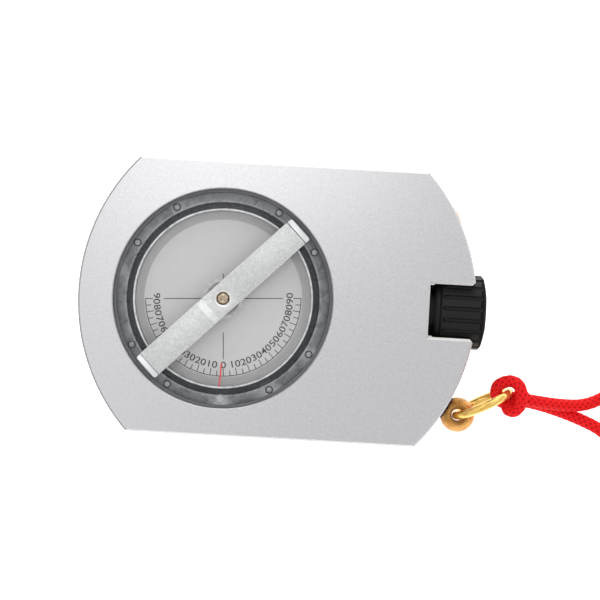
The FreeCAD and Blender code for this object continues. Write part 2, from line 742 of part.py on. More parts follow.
def make_edge_scale():
    """The band with the edge scale, round the card's skirt."""
    inner = f"{CARD_RIM} + Sizes.fit_gap"
    outer = f"{inner} + Sizes.scale_band_thickness"
    low = f"{MID_Z} - Sizes.scale_band_height / 2"
    high = f"{MID_Z} + Sizes.scale_band_height / 2"
    return place(turned("edge_scale", [
        (inner, low),
        (outer, low),
        (outer, high),
        (inner, high),
    ]), CAPSULE_X, turn="Sizes.card_plumb_angle")


def make_card_hub():
    """The hub: a tube through the card with a flange under it."""
    bore = "Sizes.axle_radius + Sizes.fit_gap"
    flange_low = f"({CARD_UNDER} - Sizes.hub_flange_height)"
    low = f"({CARD_TOP} + Sizes.card_sheet - Sizes.hub_length)"
    return place(turned("card_hub", [
        (bore, low),
        ("Sizes.hub_radius", low),
        ("Sizes.hub_radius", flange_low),
        ("Sizes.hub_flange_radius", flange_low),
        ("Sizes.hub_flange_radius", CARD_UNDER),
        ("Sizes.hub_radius", CARD_UNDER),
        ("Sizes.hub_radius", f"{CARD_TOP} + Sizes.card_sheet"),
        (bore, f"{CARD_TOP} + Sizes.card_sheet"),
    ]), CAPSULE_X, turn="Sizes.card_plumb_angle")


def make_card_axle():
    """The steel axle, pointed at both ends."""
    return place(turned("card_axle", [
        ("0", AXLE_LOW),
        ("Sizes.axle_radius", f"{AXLE_LOW} + Sizes.axle_point"),
        ("Sizes.axle_radius", f"{AXLE_TOP} - Sizes.axle_point"),
        ("0", AXLE_TOP),
    ]), CAPSULE_X, turn="Sizes.card_plumb_angle")


def make_card_weight():
    """The sector weight under the card, which keeps its zero at the bottom."""
    return place(turned("card_weight", [
        (WEIGHT_INNER, f"{CARD_UNDER} - Sizes.weight_height"),
        (WEIGHT_OUTER, f"{CARD_UNDER} - Sizes.weight_height"),
        (WEIGHT_OUTER, CARD_UNDER),
        (WEIGHT_INNER, CARD_UNDER),
    ], sweep="Sizes.weight_angle"), CAPSULE_X, turn="Sizes.card_plumb_angle - 90")


# ---------------------------------------------------------------------------------------
# Sight line and eyepiece
# ---------------------------------------------------------------------------------------

def along_sight(body):
    """Put a body whose own X axis is the sight line at mid thickness."""
    return place(body, z=MID_Z)


def tube(label, inner, outer, low, high):
    """A plain ring or tube about the sight line, or a disc where the inner radius is 0."""
    return along_sight(turned(label, [
        (low, inner),
        (high, inner),
        (high, outer),
        (low, outer),
    ], "H_Axis"))


def make_graticule():
    """The glass disc with the hair line, against its shoulder in the sight channel."""
    far = "Sizes.graticule_seat + Sizes.graticule_thickness"
    return tube("graticule", "0", "Sizes.graticule_radius", "Sizes.graticule_seat", far)


def make_graticule_ring():
    """The ring that holds the graticule on its shoulder."""
    low = "(Sizes.graticule_seat + Sizes.graticule_thickness)"
    high = f"{low} + Sizes.graticule_ring_height"
    return tube("graticule_ring", "Sizes.graticule_ring_bore", "Sizes.graticule_radius", low, high)


def make_eyepiece_bush():
    """The brass bush in the housing that the eyepiece screws into."""
    return tube("eyepiece_bush", "Sizes.thread_radius", "Sizes.bush_radius",
                "Sizes.bush_seat", "Sizes.notch_floor")


def make_lens_cell():
    """The tube that carries the eye lens, with a lip at its front."""
    lip_radius = f"({CELL_BORE} - Sizes.cell_lip)"
    back = f"({CELL_FRONT} - Sizes.cell_length)"
    return along_sight(turned("lens_cell", [
        (back, CELL_BORE),
        (f"{CELL_FRONT} - Sizes.cell_lip", CELL_BORE),
        (f"{CELL_FRONT} - Sizes.cell_lip", lip_radius),
        (CELL_FRONT, lip_radius),
        (CELL_FRONT, "Sizes.cell_radius"),
        (back, "Sizes.cell_radius"),
    ], "H_Axis"))


def make_eye_lens():
    """The biconvex eye lens, with a flat land round its edge on each side."""
    radius = f"({CELL_BORE} - Sizes.fit_gap)"
    clear = f"({CELL_BORE} - Sizes.lens_land)"
    back = f"({LENS_FRONT} - Sizes.lens_edge)"
    return along_sight(turned("eye_lens", [
        (f"{back} - Sizes.lens_bulge", "0", "arc"),
        (back, clear),
        (back, radius),
        (LENS_FRONT, radius),
        (LENS_FRONT, clear, "arc"),
        (f"{LENS_FRONT} + Sizes.lens_bulge", "0"),
    ], "H_Axis"))


def make_lens_retainer():
    """The ring behind the eye lens."""
    outer = f"({CELL_BORE} - Sizes.fit_gap)"
    high = f"({LENS_FRONT} - Sizes.lens_edge - Sizes.fit_gap)"
    return tube("lens_retainer", f"{outer} - Sizes.lens_retainer_wall", outer,
                f"{high} - Sizes.lens_retainer_height", high)


def make_knob():
    """The ribbed eyepiece knob, with its shank, O-ring groove and eye opening."""
    body = new_body("eyepiece_knob")
    sketch = sketch_on(body, "XZ_Plane", "knob_outline")
    bore = "(Sizes.cell_radius + Sizes.running_gap)"
    groove = f"({SHANK_RADIUS} - Sizes.ring_groove_depth)"
    collar = "Sizes.knob_collar_radius"
    step = f"({collar} + Sizes.knob_collar_step)"
    rim, end = f"({KNOB_BACK} + Sizes.knob_rim)", f"({KNOB_BACK} + Sizes.knob_length)"
    seat = f"({end} - Sizes.eye_recess_depth)"
    flare = "(Sizes.eye_opening_radius + Sizes.eye_recess_flare)"
    bevel_end = f"({KNOB_BACK} + Sizes.knob_bevel_end)"
    collar_end = f"({KNOB_BACK} + Sizes.knob_collar_length)"
    outline(sketch, [
        (SHANK_END, bore),
        (SHANK_END, SHANK_RADIUS),
        (GROOVE_END, SHANK_RADIUS),
        (GROOVE_END, groove),
        (f"{GROOVE_END} + {GROOVE_WIDTH}", groove),
        (f"{GROOVE_END} + {GROOVE_WIDTH}", SHANK_RADIUS),
        (KNOB_BACK, SHANK_RADIUS),
        (KNOB_BACK, collar),
        (collar_end, step),
        (f"{bevel_end} - ({collar_end} - {KNOB_BACK})", step),
        (bevel_end, "Sizes.knob_radius"),
        (rim, "Sizes.knob_radius"),
        (f"{rim} + Sizes.knob_rim_round", "Sizes.knob_radius - Sizes.knob_rim_chamfer", "arc"),
        (end, flare),
        (seat, "Sizes.eye_opening_radius"),
        (seat, bore),
    ], "H_Axis")
    doc.recompute()
    turn = body.newObject("PartDesign::Revolution", "knob_turn")
    turn.Profile = sketch
    turn.ReferenceAxis = (sketch, ["H_Axis"])
    doc.recompute()
    rod = sketch_on(body, "XZ_Plane", "knob_groove_outline")
    rod.setExpression("AttachmentOffset.Base.y", "Sizes.knob_radius")
    start = f"({KNOB_BACK} + Sizes.knob_groove_start)"
    groove_end = f"({start} + Sizes.knob_groove_length)"
    outline(rod, [
        (f"{start} - Sizes.knob_groove_radius", "0", "arc"),
        (start, "Sizes.knob_groove_radius"),
        (groove_end, "Sizes.knob_groove_radius"),
        (groove_end, "0"),
    ], "H_Axis")
    doc.recompute()
    groove_cut = body.newObject("PartDesign::Groove", "knob_groove")
    groove_cut.Profile = rod
    groove_cut.ReferenceAxis = (rod, ["H_Axis"])
    doc.recompute()
    ribs = body.newObject("PartDesign::PolarPattern", "knob_grooves")
    ribs.Originals = [groove_cut]
    ribs.Axis = (sketch, ["H_Axis"])
    ribs.Angle = 360
    ribs.setExpression("Occurrences", "Sizes.knob_rib_count")
    body.Tip = ribs
    doc.recompute()
    roll = "rotation(vector(1; 0; 0); -Sizes.knob_groove_turn)"
    body.setExpression("Placement", f"placement(vector(0; 0; {MID_Z}); {roll})")
    return body


def make_o_ring():
    """The O-ring in the groove of the knob's shank, which gives the thread its drag."""
    ring = doc.addObject("Part::Torus", "eyepiece_o_ring")
    seat = f"({SHANK_RADIUS} - Sizes.ring_groove_depth + Sizes.fit_gap)"
    bind(ring, Radius1=f"{seat} + Sizes.o_ring_wire", Radius2="Sizes.o_ring_wire")
    middle = f"{GROOVE_END} + {GROOVE_WIDTH} / 2"
    turn = "rotation(vector(0; 1; 0); 90)"
    ring.setExpression("Placement", f"placement(vector({middle}; 0; {MID_Z}); {turn})")
    ring.Label = "eyepiece_o_ring"
    return ring


# ---------------------------------------------------------------------------------------
# Lanyard stud, ring and blanking plug
# ---------------------------------------------------------------------------------------

def make_stud():
    """The ball stud: shank in the housing, coned neck, ball and a flared cross hole."""
    neck_end = f"({SPOT_X} + Sizes.stud_cone_length)"
    shoulder = "Sizes.stud_shoulder_radius"
    shank = place(turned("stud_shank", [
        (f"{SPOT_X} - Sizes.stud_shank_length", "0"),
        (f"{SPOT_X} - Sizes.stud_shank_length", "Sizes.stud_shank_radius"),
        (SPOT_X, "Sizes.stud_shank_radius"),
        (SPOT_X, "Sizes.stud_neck_radius"),
        (neck_end, shoulder),
        (BALL_CENTRE, shoulder),
        (BALL_CENTRE, "0"),
    ], "H_Axis"), z=MID_Z, turn=f"-{STUD_ANGLE}")
    ball = doc.addObject("Part::Sphere", "stud_ball")
    bind(ball, Radius="Sizes.stud_ball_radius")
    place(ball, BALL_X, BALL_Y, MID_Z)
    over = "(Sizes.stud_ball_radius + Sizes.free_gap)"
    mouth = "(Sizes.stud_hole_radius + Sizes.stud_hole_flare)"
    hole = place(turned("stud_cross_hole", [
        ("0", f"-{over}"),
        (mouth, f"-{over}"),
        ("Sizes.stud_hole_radius", "-Sizes.stud_hole_throat"),
        ("Sizes.stud_hole_radius", "Sizes.stud_hole_throat"),
        (mouth, over),
        ("0", over),
    ]), BALL_X, BALL_Y, MID_Z)
    return cut_from("lanyard_stud", joined("stud_solid", [shank, ball]), [hole])


RING_TURN = (
    "rotation(vector(0; 0; 1); Sizes.ring_direction)"
    " * rotation(vector(1; 0; 0); 90 + Sizes.ring_tilt)"
)
RING_X = f"({BALL_X} + Sizes.ring_radius * cos(Sizes.ring_direction))"
RING_Y = f"({BALL_Y} + Sizes.ring_radius * sin(Sizes.ring_direction))"
KNOT_X = f"({BALL_X} + 2 * Sizes.ring_radius * cos(Sizes.ring_direction))"
KNOT_Y = f"({BALL_Y} + 2 * Sizes.ring_radius * sin(Sizes.ring_direction))"
COIL_X = f"({KNOT_X} + Sizes.coil_ahead)"
COIL_Y = f"({KNOT_Y} - Sizes.coil_aside)"


def ring_torus(label, wire):
    """A torus where the lanyard ring is, of a given wire radius."""
    ring = doc.addObject("Part::Torus", label)
    bind(ring, Radius1="Sizes.ring_radius", Radius2=wire)
    ring.setExpression("Placement", f"placement(vector({RING_X}; {RING_Y}; {MID_Z}); {RING_TURN})")
    return ring


def make_lanyard_ring():
    """The closed wire ring through the stud's cross hole."""
    ring = ring_torus("lanyard_ring", "Sizes.ring_wire")
    ring.Label = "lanyard_ring"
    return ring


def make_blanking_plug():
    """The domed plug in the spare stud hole."""
    return place(turned("blanking_plug", [
        (f"{SPOT_X} - Sizes.plug_shank_length", "0"),
        (f"{SPOT_X} - Sizes.plug_shank_length", "Sizes.plug_shank_radius"),
        (SPOT_X, "Sizes.plug_shank_radius"),
        (SPOT_X, "Sizes.plug_radius", "arc"),
        (f"{SPOT_X} + Sizes.spot_depth + Sizes.plug_dome", "0"),
    ], "H_Axis"), z=MID_Z, turn=STUD_ANGLE)


# ---------------------------------------------------------------------------------------
# Cord
# ---------------------------------------------------------------------------------------

CORD = size("Sizes.cord_radius")
COIL_TURN = "(Sizes.coil_mean_radius + (Sizes.coil_rows - 1) * Sizes.cord_radius)"
COIL_LAYER = CORD + size("Sizes.coil_layer_rise")
UPPER_Y = size(f"{COIL_TURN} - Sizes.coil_aside")
LOWER_Y = size(f"-{COIL_TURN} - Sizes.coil_aside")
STUB_X = size("Sizes.coil_ahead - Sizes.coil_stub")

# The strands' routes are (x, y) from the knot's middle, with z from the floor.
# The upper strand, from the knot down to the floor and round to the far side of the coil.
UPPER_ROUTE = [
    (2.5, -0.4, 8.0),
    (6.2, -1.0, 6.9),
    (10.6, -1.6, 4.1),
    (15.2, -1.6, 1.9),
    (19.8, 0.3, 1.2),
    (23.2, 4.2, 1.2),
    (25.5, 8.9, 1.4),
    (28.7, 12.9, 2.5),
    (33.0, UPPER_Y, COIL_LAYER),
    (STUB_X, UPPER_Y, COIL_LAYER),
]
# The lower strand, from the knot down to the floor and round to the near side of the coil.
LOWER_ROUTE = [
    (2.2, -1.5, 5.2),
    (5.8, -2.1, 3.9),
    (9.6, -3.0, 1.7),
    (14.0, -4.4, 1.2),
    (19.0, -6.8, 1.2),
    (22.8, -10.7, 1.2),
    (25.7, -15.1, 1.2),
    (29.0, -18.6, 1.2),
    (33.2, LOWER_Y, CORD),
    (STUB_X, LOWER_Y, CORD),
]


def make_cord_tube(label, route):
    """A tube along straight runs joined by tangent arcs, as large as the runs allow."""
    knot = Vector(size(KNOT_X), size(KNOT_Y), 0)
    points = [knot + Vector(*p) for p in route]
    edges, here = [], points[0]
    for before, corner, after in zip(points, points[1:], points[2:]):
        into, out = (corner - before), (after - corner)
        shorter = min(into.Length, out.Length)
        into, out = into.normalize(), out.normalize()
        half_turn = into.getAngle(out) / 2
        setback = 0.45 * shorter
        radius = setback / math.tan(half_turn)
        start, end = corner - into * setback, corner + out * setback
        to_centre = (out - into).normalize()
        apex = corner + to_centre * (radius / math.cos(half_turn) - radius)
        edges.append(Part.LineSegment(here, start).toShape())
        edges.append(Part.Arc(start, apex, end).toShape())
        print(f"{label}: bend radius {radius:.1f} mm, {math.degrees(2 * half_turn):.0f} degrees")
        here = end
    edges.append(Part.LineSegment(here, points[-1]).toShape())
    path = Part.Wire(edges)
    section = Part.Wire(Part.makeCircle(CORD, points[0], points[1] - points[0]))
    shape = path.makePipeShell([section], True, False)
    expected = math.pi * CORD ** 2 * path.Length
    print(f"{label}: length {path.Length:.1f} mm, volume {shape.Volume / expected:.4f} of expected")
    tube_piece = doc.addObject("Part::Feature", label)
    tube_piece.Shape = shape
    tube_piece.Label = label
    return tube_piece


def make_knot():
    """The knot round the ring's far end, as a plain egg shape with the ring's tunnel."""
    egg = doc.addObject("Part::Ellipsoid", "knot_egg")
    bind(egg, Radius1="Sizes.knot_height", Radius2="Sizes.knot_short", Radius3="Sizes.knot_long")
    place(egg, KNOT_X, KNOT_Y, MID_Z)
    tunnel = ring_torus("knot_tunnel", "Sizes.ring_wire + Sizes.knot_gap")
    return cut_from("cord_knot", egg, [tunnel])


def coil_radii():
    """The inner and outer radius of the coil's bundle, as expressions."""
    half = "Sizes.coil_rows * Sizes.cord_radius"
    return f"(Sizes.coil_mean_radius - {half})", f"(Sizes.coil_mean_radius + {half})"


COIL_HEIGHT = "(2 * Sizes.cord_radius + Sizes.coil_layer_rise)"


def band(label, over):
    """A band round the coil's bundle, of the tie's width, standing over the bundle by a size."""
    inner, outer = coil_radii()
    boxes = []
    for name, grow in ((label + "_outer", over), (label + "_inner", "(-Sizes.tie_thickness)")):
        box = doc.addObject("Part::Box", name)
        bind(box, Length=f"{outer} - {inner} + 2 * {grow}", Width="Sizes.tie_width",
             Height=f"{COIL_HEIGHT} + 2 * {grow}")
        shift = f"vector({inner} - {grow}; -Sizes.tie_width / 2; -{grow})"
        box.setExpression("Placement", (
            f"placement(vector({COIL_X}; {COIL_Y}; 0);"
            " rotation(vector(0; 0; 1); Sizes.tie_angle))"
            f" * placement({shift}; rotation(vector(0; 0; 1); 0))"
        ))
        boxes.append(box)
    return cut_from(label, boxes[0], [boxes[1]])


def make_tie():
    """The flat band round the coil's bundle, flush with it."""
    return band("cord_tie", "0")


def make_coil():
    """The coil's outer shape, waisted where the tie holds it, with a stub for each strand."""
    inner, outer = coil_radii()
    edge = "Sizes.coil_bevel"
    ring = place(turned("coil_ring", [
        (f"{inner} + {edge}", "0"),
        (f"{outer} - {edge}", "0"),
        (outer, edge),
        (outer, f"{COIL_HEIGHT} - {edge}"),
        (f"{outer} - {edge}", COIL_HEIGHT),
        (f"{inner} + {edge}", COIL_HEIGHT),
        (inner, f"{COIL_HEIGHT} - {edge}"),
        (inner, edge),
    ]), COIL_X, COIL_Y)
    stubs = []
    for name, side, z in (
        ("coil_stub_upper", "", "Sizes.cord_radius + Sizes.coil_layer_rise"),
        ("coil_stub_lower", "-", "Sizes.cord_radius"),
    ):
        stubs.append(cylinder(name, "Sizes.cord_radius", "Sizes.coil_stub",
                              f"{COIL_X} - Sizes.coil_stub", f"{COIL_Y} + {side}{COIL_TURN}",
                              z, lying=True))
    waist = band("coil_waist", "Sizes.free_gap")
    return cut_from("cord_coil", joined("coil_with_stubs", [ring] + stubs), [waist])


# ---------------------------------------------------------------------------------------
# The assembly
# ---------------------------------------------------------------------------------------

def build():
    """Make every piece and return those that are written out, in their nodes' names."""
    pieces = [
        make_housing(),
        make_capsule_base(),
        make_capsule_cover(),
        make_capsule_seal(),
        make_index_line(),
        make_fill_plug(),
        make_bridge(),
        make_pivot_screw(),
        jewel("front_jewel", SCREW_LOW, f"{SCREW_LOW} + Sizes.jewel_height"),
        jewel("rear_jewel", BASE_BOSS_TOP, f"{BASE_BOSS_TOP} - Sizes.jewel_height"),
        make_dial_card(),
        make_edge_scale(),
        make_card_hub(),
        make_card_axle(),
        make_card_weight(),
        make_graticule(),
        make_graticule_ring(),
        make_eyepiece_bush(),
        make_lens_cell(),
        make_eye_lens(),
        make_lens_retainer(),
        make_knob(),
        make_o_ring(),
        make_stud(),
        make_blanking_plug(),
        make_lanyard_ring(),
        make_knot(),
        make_cord_tube("cord_upper_lead", UPPER_ROUTE),
        make_cord_tube("cord_lower_lead", LOWER_ROUTE),
        make_coil(),
        make_tie(),
    ]
    doc.recompute()
    return pieces


def check(pieces):
    """Stop if any object failed or any piece's shape isn't one valid solid."""
    for thing in doc.Objects:
        if "Invalid" in thing.State or "Error" in thing.State:
            raise RuntimeError(f"{thing.Label} failed: {thing.State}")
    for piece in pieces:
        shape = piece.Shape
        if shape.isNull() or not shape.isValid() or not shape.Solids:
            raise RuntimeError(f"{piece.Label} has no valid solid")
        if len(shape.Solids) != 1:
            raise RuntimeError(f"{piece.Label} has {len(shape.Solids)} solids")


parts = build()
check(parts)
os.makedirs("parts", exist_ok=True)
for part in parts:
    part.Shape.exportStep(os.path.join("parts", f"{part.Label}.step"))
    print(f"{part.Label}: {part.Shape.Volume:.1f} mm3")
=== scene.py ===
"""Dressed model of a hand-held sighting inclinometer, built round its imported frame.

Lengths in the fields of the classes are millimetres in the frame of the part; the meshes are
in metres.
"""
import logging
import math
from contextlib import contextmanager
from dataclasses import dataclass, replace
from enum import Enum
from typing import Any, Callable, Iterator, Mapping, Optional, Sequence

import bmesh
import bpy
from mathutils import Matrix, Vector


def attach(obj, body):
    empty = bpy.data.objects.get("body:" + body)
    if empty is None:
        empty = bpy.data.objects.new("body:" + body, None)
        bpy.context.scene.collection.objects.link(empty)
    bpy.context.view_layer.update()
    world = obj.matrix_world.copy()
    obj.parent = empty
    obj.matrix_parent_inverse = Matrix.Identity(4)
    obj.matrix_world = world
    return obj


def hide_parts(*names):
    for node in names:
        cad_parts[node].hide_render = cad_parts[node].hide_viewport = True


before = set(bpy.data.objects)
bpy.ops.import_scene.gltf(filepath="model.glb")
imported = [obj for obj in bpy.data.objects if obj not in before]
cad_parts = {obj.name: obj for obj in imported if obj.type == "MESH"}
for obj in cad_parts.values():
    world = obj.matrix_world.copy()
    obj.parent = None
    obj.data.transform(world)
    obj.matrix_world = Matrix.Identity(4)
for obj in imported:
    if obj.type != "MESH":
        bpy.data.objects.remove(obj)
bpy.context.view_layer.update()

Point = tuple[float, float, float]
Span = tuple[float, float]
Profile = Sequence[tuple[float, float]]
Colour = tuple[float, float, float, float]
Test = Callable[[Any], bool]

LOG = logging.getLogger("inclinometer")
MM = 0.001
# The card's zero line against the housing's own upright.
PLUMB_ANGLE = math.radians(3.25)
# Where the axis of the capsule, the card and the bridge stands.
CAPSULE_AXIS: Point = (-10.4, 0.0, 0.0)
# How near two points are one, in metres: on a CAD node, and on a piece made here.
CAD_MERGE, OWN_MERGE = 2e-6, 1e-7
# Up to the first angle faces are one flat; above the second one an edge is rounded.
FLAT_ANGLE, EDGE_ANGLE = math.radians(0.6), math.radians(32)


class Body(Enum):
    """The moving bodies of the instrument."""

    HOUSING = "housing"
    CARD = "card"
    LENS_SLIDE = "lens_slide"
    EYEPIECE = "eyepiece"
    LANYARD = "lanyard"


class Element(Enum):
    """What an edit works on."""

    VERT = "verts"
    EDGE = "edges"
    FACE = "faces"


# ---------------------------------------------------------------------------------------
# Bench: small steps that every piece uses
# ---------------------------------------------------------------------------------------

def linear(code: str) -> Colour:
    """Turn an sRGB hex colour into linear light.

    Args:
        code: six hex digits after a hash.

    Returns:
        Red, green, blue and an alpha of one.
    """
    parts = [int(code[i:i + 2], 16) / 255 for i in (1, 3, 5)]
    light = [p / 12.92 if p <= 0.04045 else ((p + 0.055) / 1.055) ** 2.4 for p in parts]
    return (light[0], light[1], light[2], 1.0)


def metres(point: Sequence[float]) -> Vector:
    """A point in metres from one in millimetres."""
    return Vector(point) * MM


def take(*things: bpy.types.Object) -> None:
    """Select these objects alone and make the last of them active.

    Args:
        things: what the next operator works on; none leaves nothing selected.
    """
    bpy.ops.object.select_all(action="DESELECT")
    for thing in things:
        thing.select_set(True)
        bpy.context.view_layer.objects.active = thing


@contextmanager
def editing() -> Iterator[None]:
    """Work on the mesh of the active object in edit mode, and leave it again."""
    bpy.ops.object.mode_set(mode="EDIT")
    yield
    bpy.ops.object.mode_set(mode="OBJECT")


def choose(thing: bpy.types.Object, element: Element, test: Test) -> None:
    """Select the elements of the mesh in edit mode that pass a test.

    Args:
        thing: the object that is being edited.
        element: whether vertices, edges or faces are tested.
        test: says of one element whether it is wanted.
    """
    bpy.ops.mesh.select_mode(type=element.name)
    bpy.ops.mesh.select_all(action="DESELECT")
    mesh = bmesh.from_edit_mesh(thing.data)
    for item in getattr(mesh, element.value):
        if test(item):
            item.select_set(True)
    mesh.select_flush_mode()
    bmesh.update_edit_mesh(thing.data)


def modify(thing: bpy.types.Object, kind: str, **settings: Any) -> None:
    """Add a modifier and apply it.

    Args:
        thing: the object to change.
        kind: the modifier's type.
        settings: its values by attribute name.
    """
    take(thing)
    modifier = thing.modifiers.new(kind.lower(), kind)
    for key, value in settings.items():
        setattr(modifier, key, value)
    bpy.ops.object.modifier_apply(modifier=modifier.name)


def settle(thing: bpy.types.Object, name: str, crease: float = 30.0) -> bpy.types.Object:
    """Close a piece's making: place into the mesh, faces outwards, smooth but for its creases.

    Args:
        thing: the piece, in object mode.
        name: its name in the model.
        crease: the angle in degrees above which an edge stays sharp.

    Returns:
        The same object.
    """
    take(thing)
    bpy.ops.object.transform_apply(location=True, rotation=True, scale=True)
    with editing():
        bpy.ops.mesh.select_all(action="SELECT")
        bpy.ops.mesh.remove_doubles(threshold=OWN_MERGE)
        bpy.ops.mesh.normals_make_consistent(inside=False)
    bpy.ops.object.shade_smooth_by_angle(angle=math.radians(crease))
    thing.name = name
    thing.data.name = name
    return thing


def joined(things: Sequence[bpy.types.Object]) -> bpy.types.Object:
    """Make several objects one, kept in the last of them."""
    take(*things)
    if len(things) > 1:
        bpy.ops.object.join()
    return bpy.context.view_layer.objects.active


def copy_of(thing: bpy.types.Object) -> bpy.types.Object:
    """A copy of an object, with a mesh of its own."""
    twin = thing.copy()
    twin.data = thing.data.copy()
    bpy.context.scene.collection.objects.link(twin)
    return twin


def spun_copies(
    thing: bpy.types.Object, centre: Vector, angles: Sequence[float]
) -> list[bpy.types.Object]:
    """Copy a piece round an upright axis and remove the pattern piece.

    Args:
        thing: the pattern piece, made at angle nil.
        centre: a point on the axis, in metres.
        angles: where the copies go, in degrees.

    Returns:
        The copies, their places in their meshes.
    """
    copies = []
    for angle in angles:
        twin = copy_of(thing)
        about = Matrix.Translation(centre) @ Matrix.Rotation(math.radians(angle), 4, "Z")
        twin.data.transform(about @ Matrix.Translation(-centre) @ twin.matrix_world)
        twin.matrix_world = Matrix.Identity(4)
        copies.append(twin)
    bpy.data.objects.remove(thing)
    return copies


def turned(
    profile: Profile, centre: Vector, sides: int = 96, ring: bool = True
) -> bpy.types.Object:
    """Draw a circle out along a profile, as on a lathe with an upright axis.

    Args:
        profile: radius and level of each corner, in millimetres.
        centre: the axis, in metres.
        sides: faces round the axis.
        ring: whether the last corner closes onto the first; if not, the two ends are filled.

    Returns:
        The closed solid, in object mode.
    """
    take()
    radius, level = profile[0]
    bpy.ops.mesh.primitive_circle_add(
        vertices=sides, radius=radius * MM, fill_type="NOTHING",
        location=(centre.x, centre.y, level * MM),
    )
    thing = bpy.context.object
    with editing():
        choose(thing, Element.VERT, lambda vertex: True)
        for next_radius, next_level in profile[1:]:
            rise = (next_level - level) * MM
            bpy.ops.mesh.extrude_region_move(TRANSFORM_OT_translate={"value": (0, 0, rise)})
            grow = next_radius / radius
            bpy.ops.transform.resize(
                value=(grow, grow, 1), center_override=(centre.x, centre.y, next_level * MM)
            )
            radius, level = next_radius, next_level
        choose(thing, Element.EDGE, lambda edge: edge.is_boundary)
        if ring:
            bpy.ops.mesh.bridge_edge_loops()
        else:
            bpy.ops.mesh.fill_holes(sides=0)
    return thing


def merged_copy(node: str) -> bpy.types.Object:
    """Copy a CAD node, free of its materials, with the points of its faces merged.

    Args:
        node: the CAD node to copy.

    Returns:
        The copy, active and in object mode.
    """
    thing = copy_of(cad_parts[node])
    for key in list(thing.keys()):
        del thing[key]
    thing.parent = None
    thing.matrix_world = Matrix.Identity(4)
    thing.data.materials.clear()
    take(thing)
    bpy.ops.mesh.customdata_custom_splitnormals_clear()
    with editing():
        bpy.ops.mesh.select_all(action="SELECT")
        bpy.ops.mesh.remove_doubles(threshold=CAD_MERGE)
    return thing


def give_slots(thing: bpy.types.Object, *tests: Test) -> None:
    """Give a piece one material slot, and one more for the faces that pass each test.

    Args:
        thing: the piece, in object mode.
        tests: which faces go to slot 1, 2 and so on; where two pass, the later one has the face.
    """
    while len(thing.data.materials) <= len(tests):
        thing.data.materials.append(None)
    take(thing)
    with editing():
        for slot, test in enumerate(tests, 1):
            choose(thing, Element.FACE, test)
            thing.active_material_index = slot
            bpy.ops.object.material_slot_assign()


def softened(
    node: str, name: str, width: float, steps: int = 2, edge_slot: int = -1
) -> bpy.types.Object:
    """Copy a machined piece, merge its triangles and round its sharp edges.

    Args:
        node: the CAD node to copy.
        name: the new piece's name.
        width: the rounding's width in millimetres.
        steps: faces across the rounding.
        edge_slot: material slot of the rounding, or -1 for its neighbours' own.

    Returns:
        The softened copy.
    """
    thing = merged_copy(node)
    with editing():
        bpy.ops.mesh.dissolve_limited(angle_limit=FLAT_ANGLE)
    for _ in range(edge_slot + 1):
        thing.data.materials.append(None)
    modify(thing, "BEVEL", width=width * MM, segments=steps, limit_method="ANGLE",
           angle_limit=EDGE_ANGLE, material=edge_slot, use_clamp_overlap=True,
           miter_outer="MITER_ARC")
    return settle(thing, name)


def install(
    piece: bpy.types.Object, body: Body, finishes: Sequence["Finish"],
    replaced: Sequence[str] = (),
) -> bpy.types.Object:
    """Put a finished piece on its body with its finishes.

    Args:
        piece: the piece, in place.
        body: what it moves with.
        finishes: its finishes, in the order of its mesh's slots.
        replaced: the CAD nodes that it stands for.

    Returns:
        The same object.
    """
    while len(piece.data.materials) < len(finishes):
        piece.data.materials.append(None)
    for index, finish in enumerate(finishes):
        piece.data.materials[index] = finish.build()
    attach(piece, body.value)
    if replaced:
        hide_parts(*replaced)
    LOG.info("%s rides on %s, %d faces", piece.name, body.value, len(piece.data.polygons))
    return piece


def dress(finish: "Finish", *nodes: str) -> None:
    """Give CAD nodes that keep their shape a finish.

    Args:
        finish: what their surfaces are like.
        nodes: the nodes' names.
    """
    for node in nodes:
        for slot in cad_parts[node].material_slots:
            slot.material = finish.build()
        LOG.info("%s keeps its shape", node)


# ---------------------------------------------------------------------------------------
# Finishes
# ---------------------------------------------------------------------------------------

Source = bpy.types.Node | bpy.types.NodeSocket
# The noises in the finishes: fine grain, broad mottling and clouds. Grain under about 0.2 mm,
# such as that of blasting, spark erosion and rubber, is drawn that coarse, so that it shows.
FINE = {"Detail": 3.0, "Roughness": 0.6}
BROAD = {"Detail": 4.0, "Roughness": 0.55}
CLOUDS = {"Detail": 6.0, "Roughness": 0.62, "Distortion": 0.8}
# Which part of a noise's range takes the colours from the second to the first, and the gloss
# from smooth to rough.
TONE_SPAN: Span = (0.38, 0.62)
GLOSS_SPAN: Span = (0.35, 0.65)


def set_stops(colours: bpy.types.ColorRamp, stops: Sequence[tuple[float, Colour]]) -> None:
    """Give a colour ramp these stops and no others.

    Args:
        colours: the ramp.
        stops: position and linear colour of each stop.
    """
    points = colours.elements
    while len(points) > 1:
        points.remove(points[-1])
    points[0].position, points[0].color = stops[0]
    for position, colour in stops[1:]:
        points.new(position).color = colour


def add_node(
    tree: bpy.types.NodeTree, kind: str, settings: Optional[Mapping[Any, Any]] = None,
    links: Optional[Mapping[Any, Source]] = None,
) -> bpy.types.Node:
    """Add a shader node.

    Args:
        tree: the material's node tree.
        kind: the node's type name.
        settings: values by input socket, by its name or number, or by attribute name, with
            the stops of a colour ramp under "stops".
        links: by the input that it feeds, an output socket or a node for its first output.

    Returns:
        The new node.
    """
    node = tree.nodes.new(kind)
    for key, value in (settings or {}).items():
        if key == "stops":
            set_stops(node.color_ramp, value)
        elif isinstance(key, int) or key in node.inputs:
            node.inputs[key].default_value = value
        else:
            setattr(node, key, value)
    for key, source in (links or {}).items():
        output = source.outputs[0] if isinstance(source, bpy.types.Node) else source
        tree.links.new(output, node.inputs[key])
    return node


def grey(level: float) -> Colour:
    """A neutral value as a ramp colour."""
    return (level, level, level, 1.0)


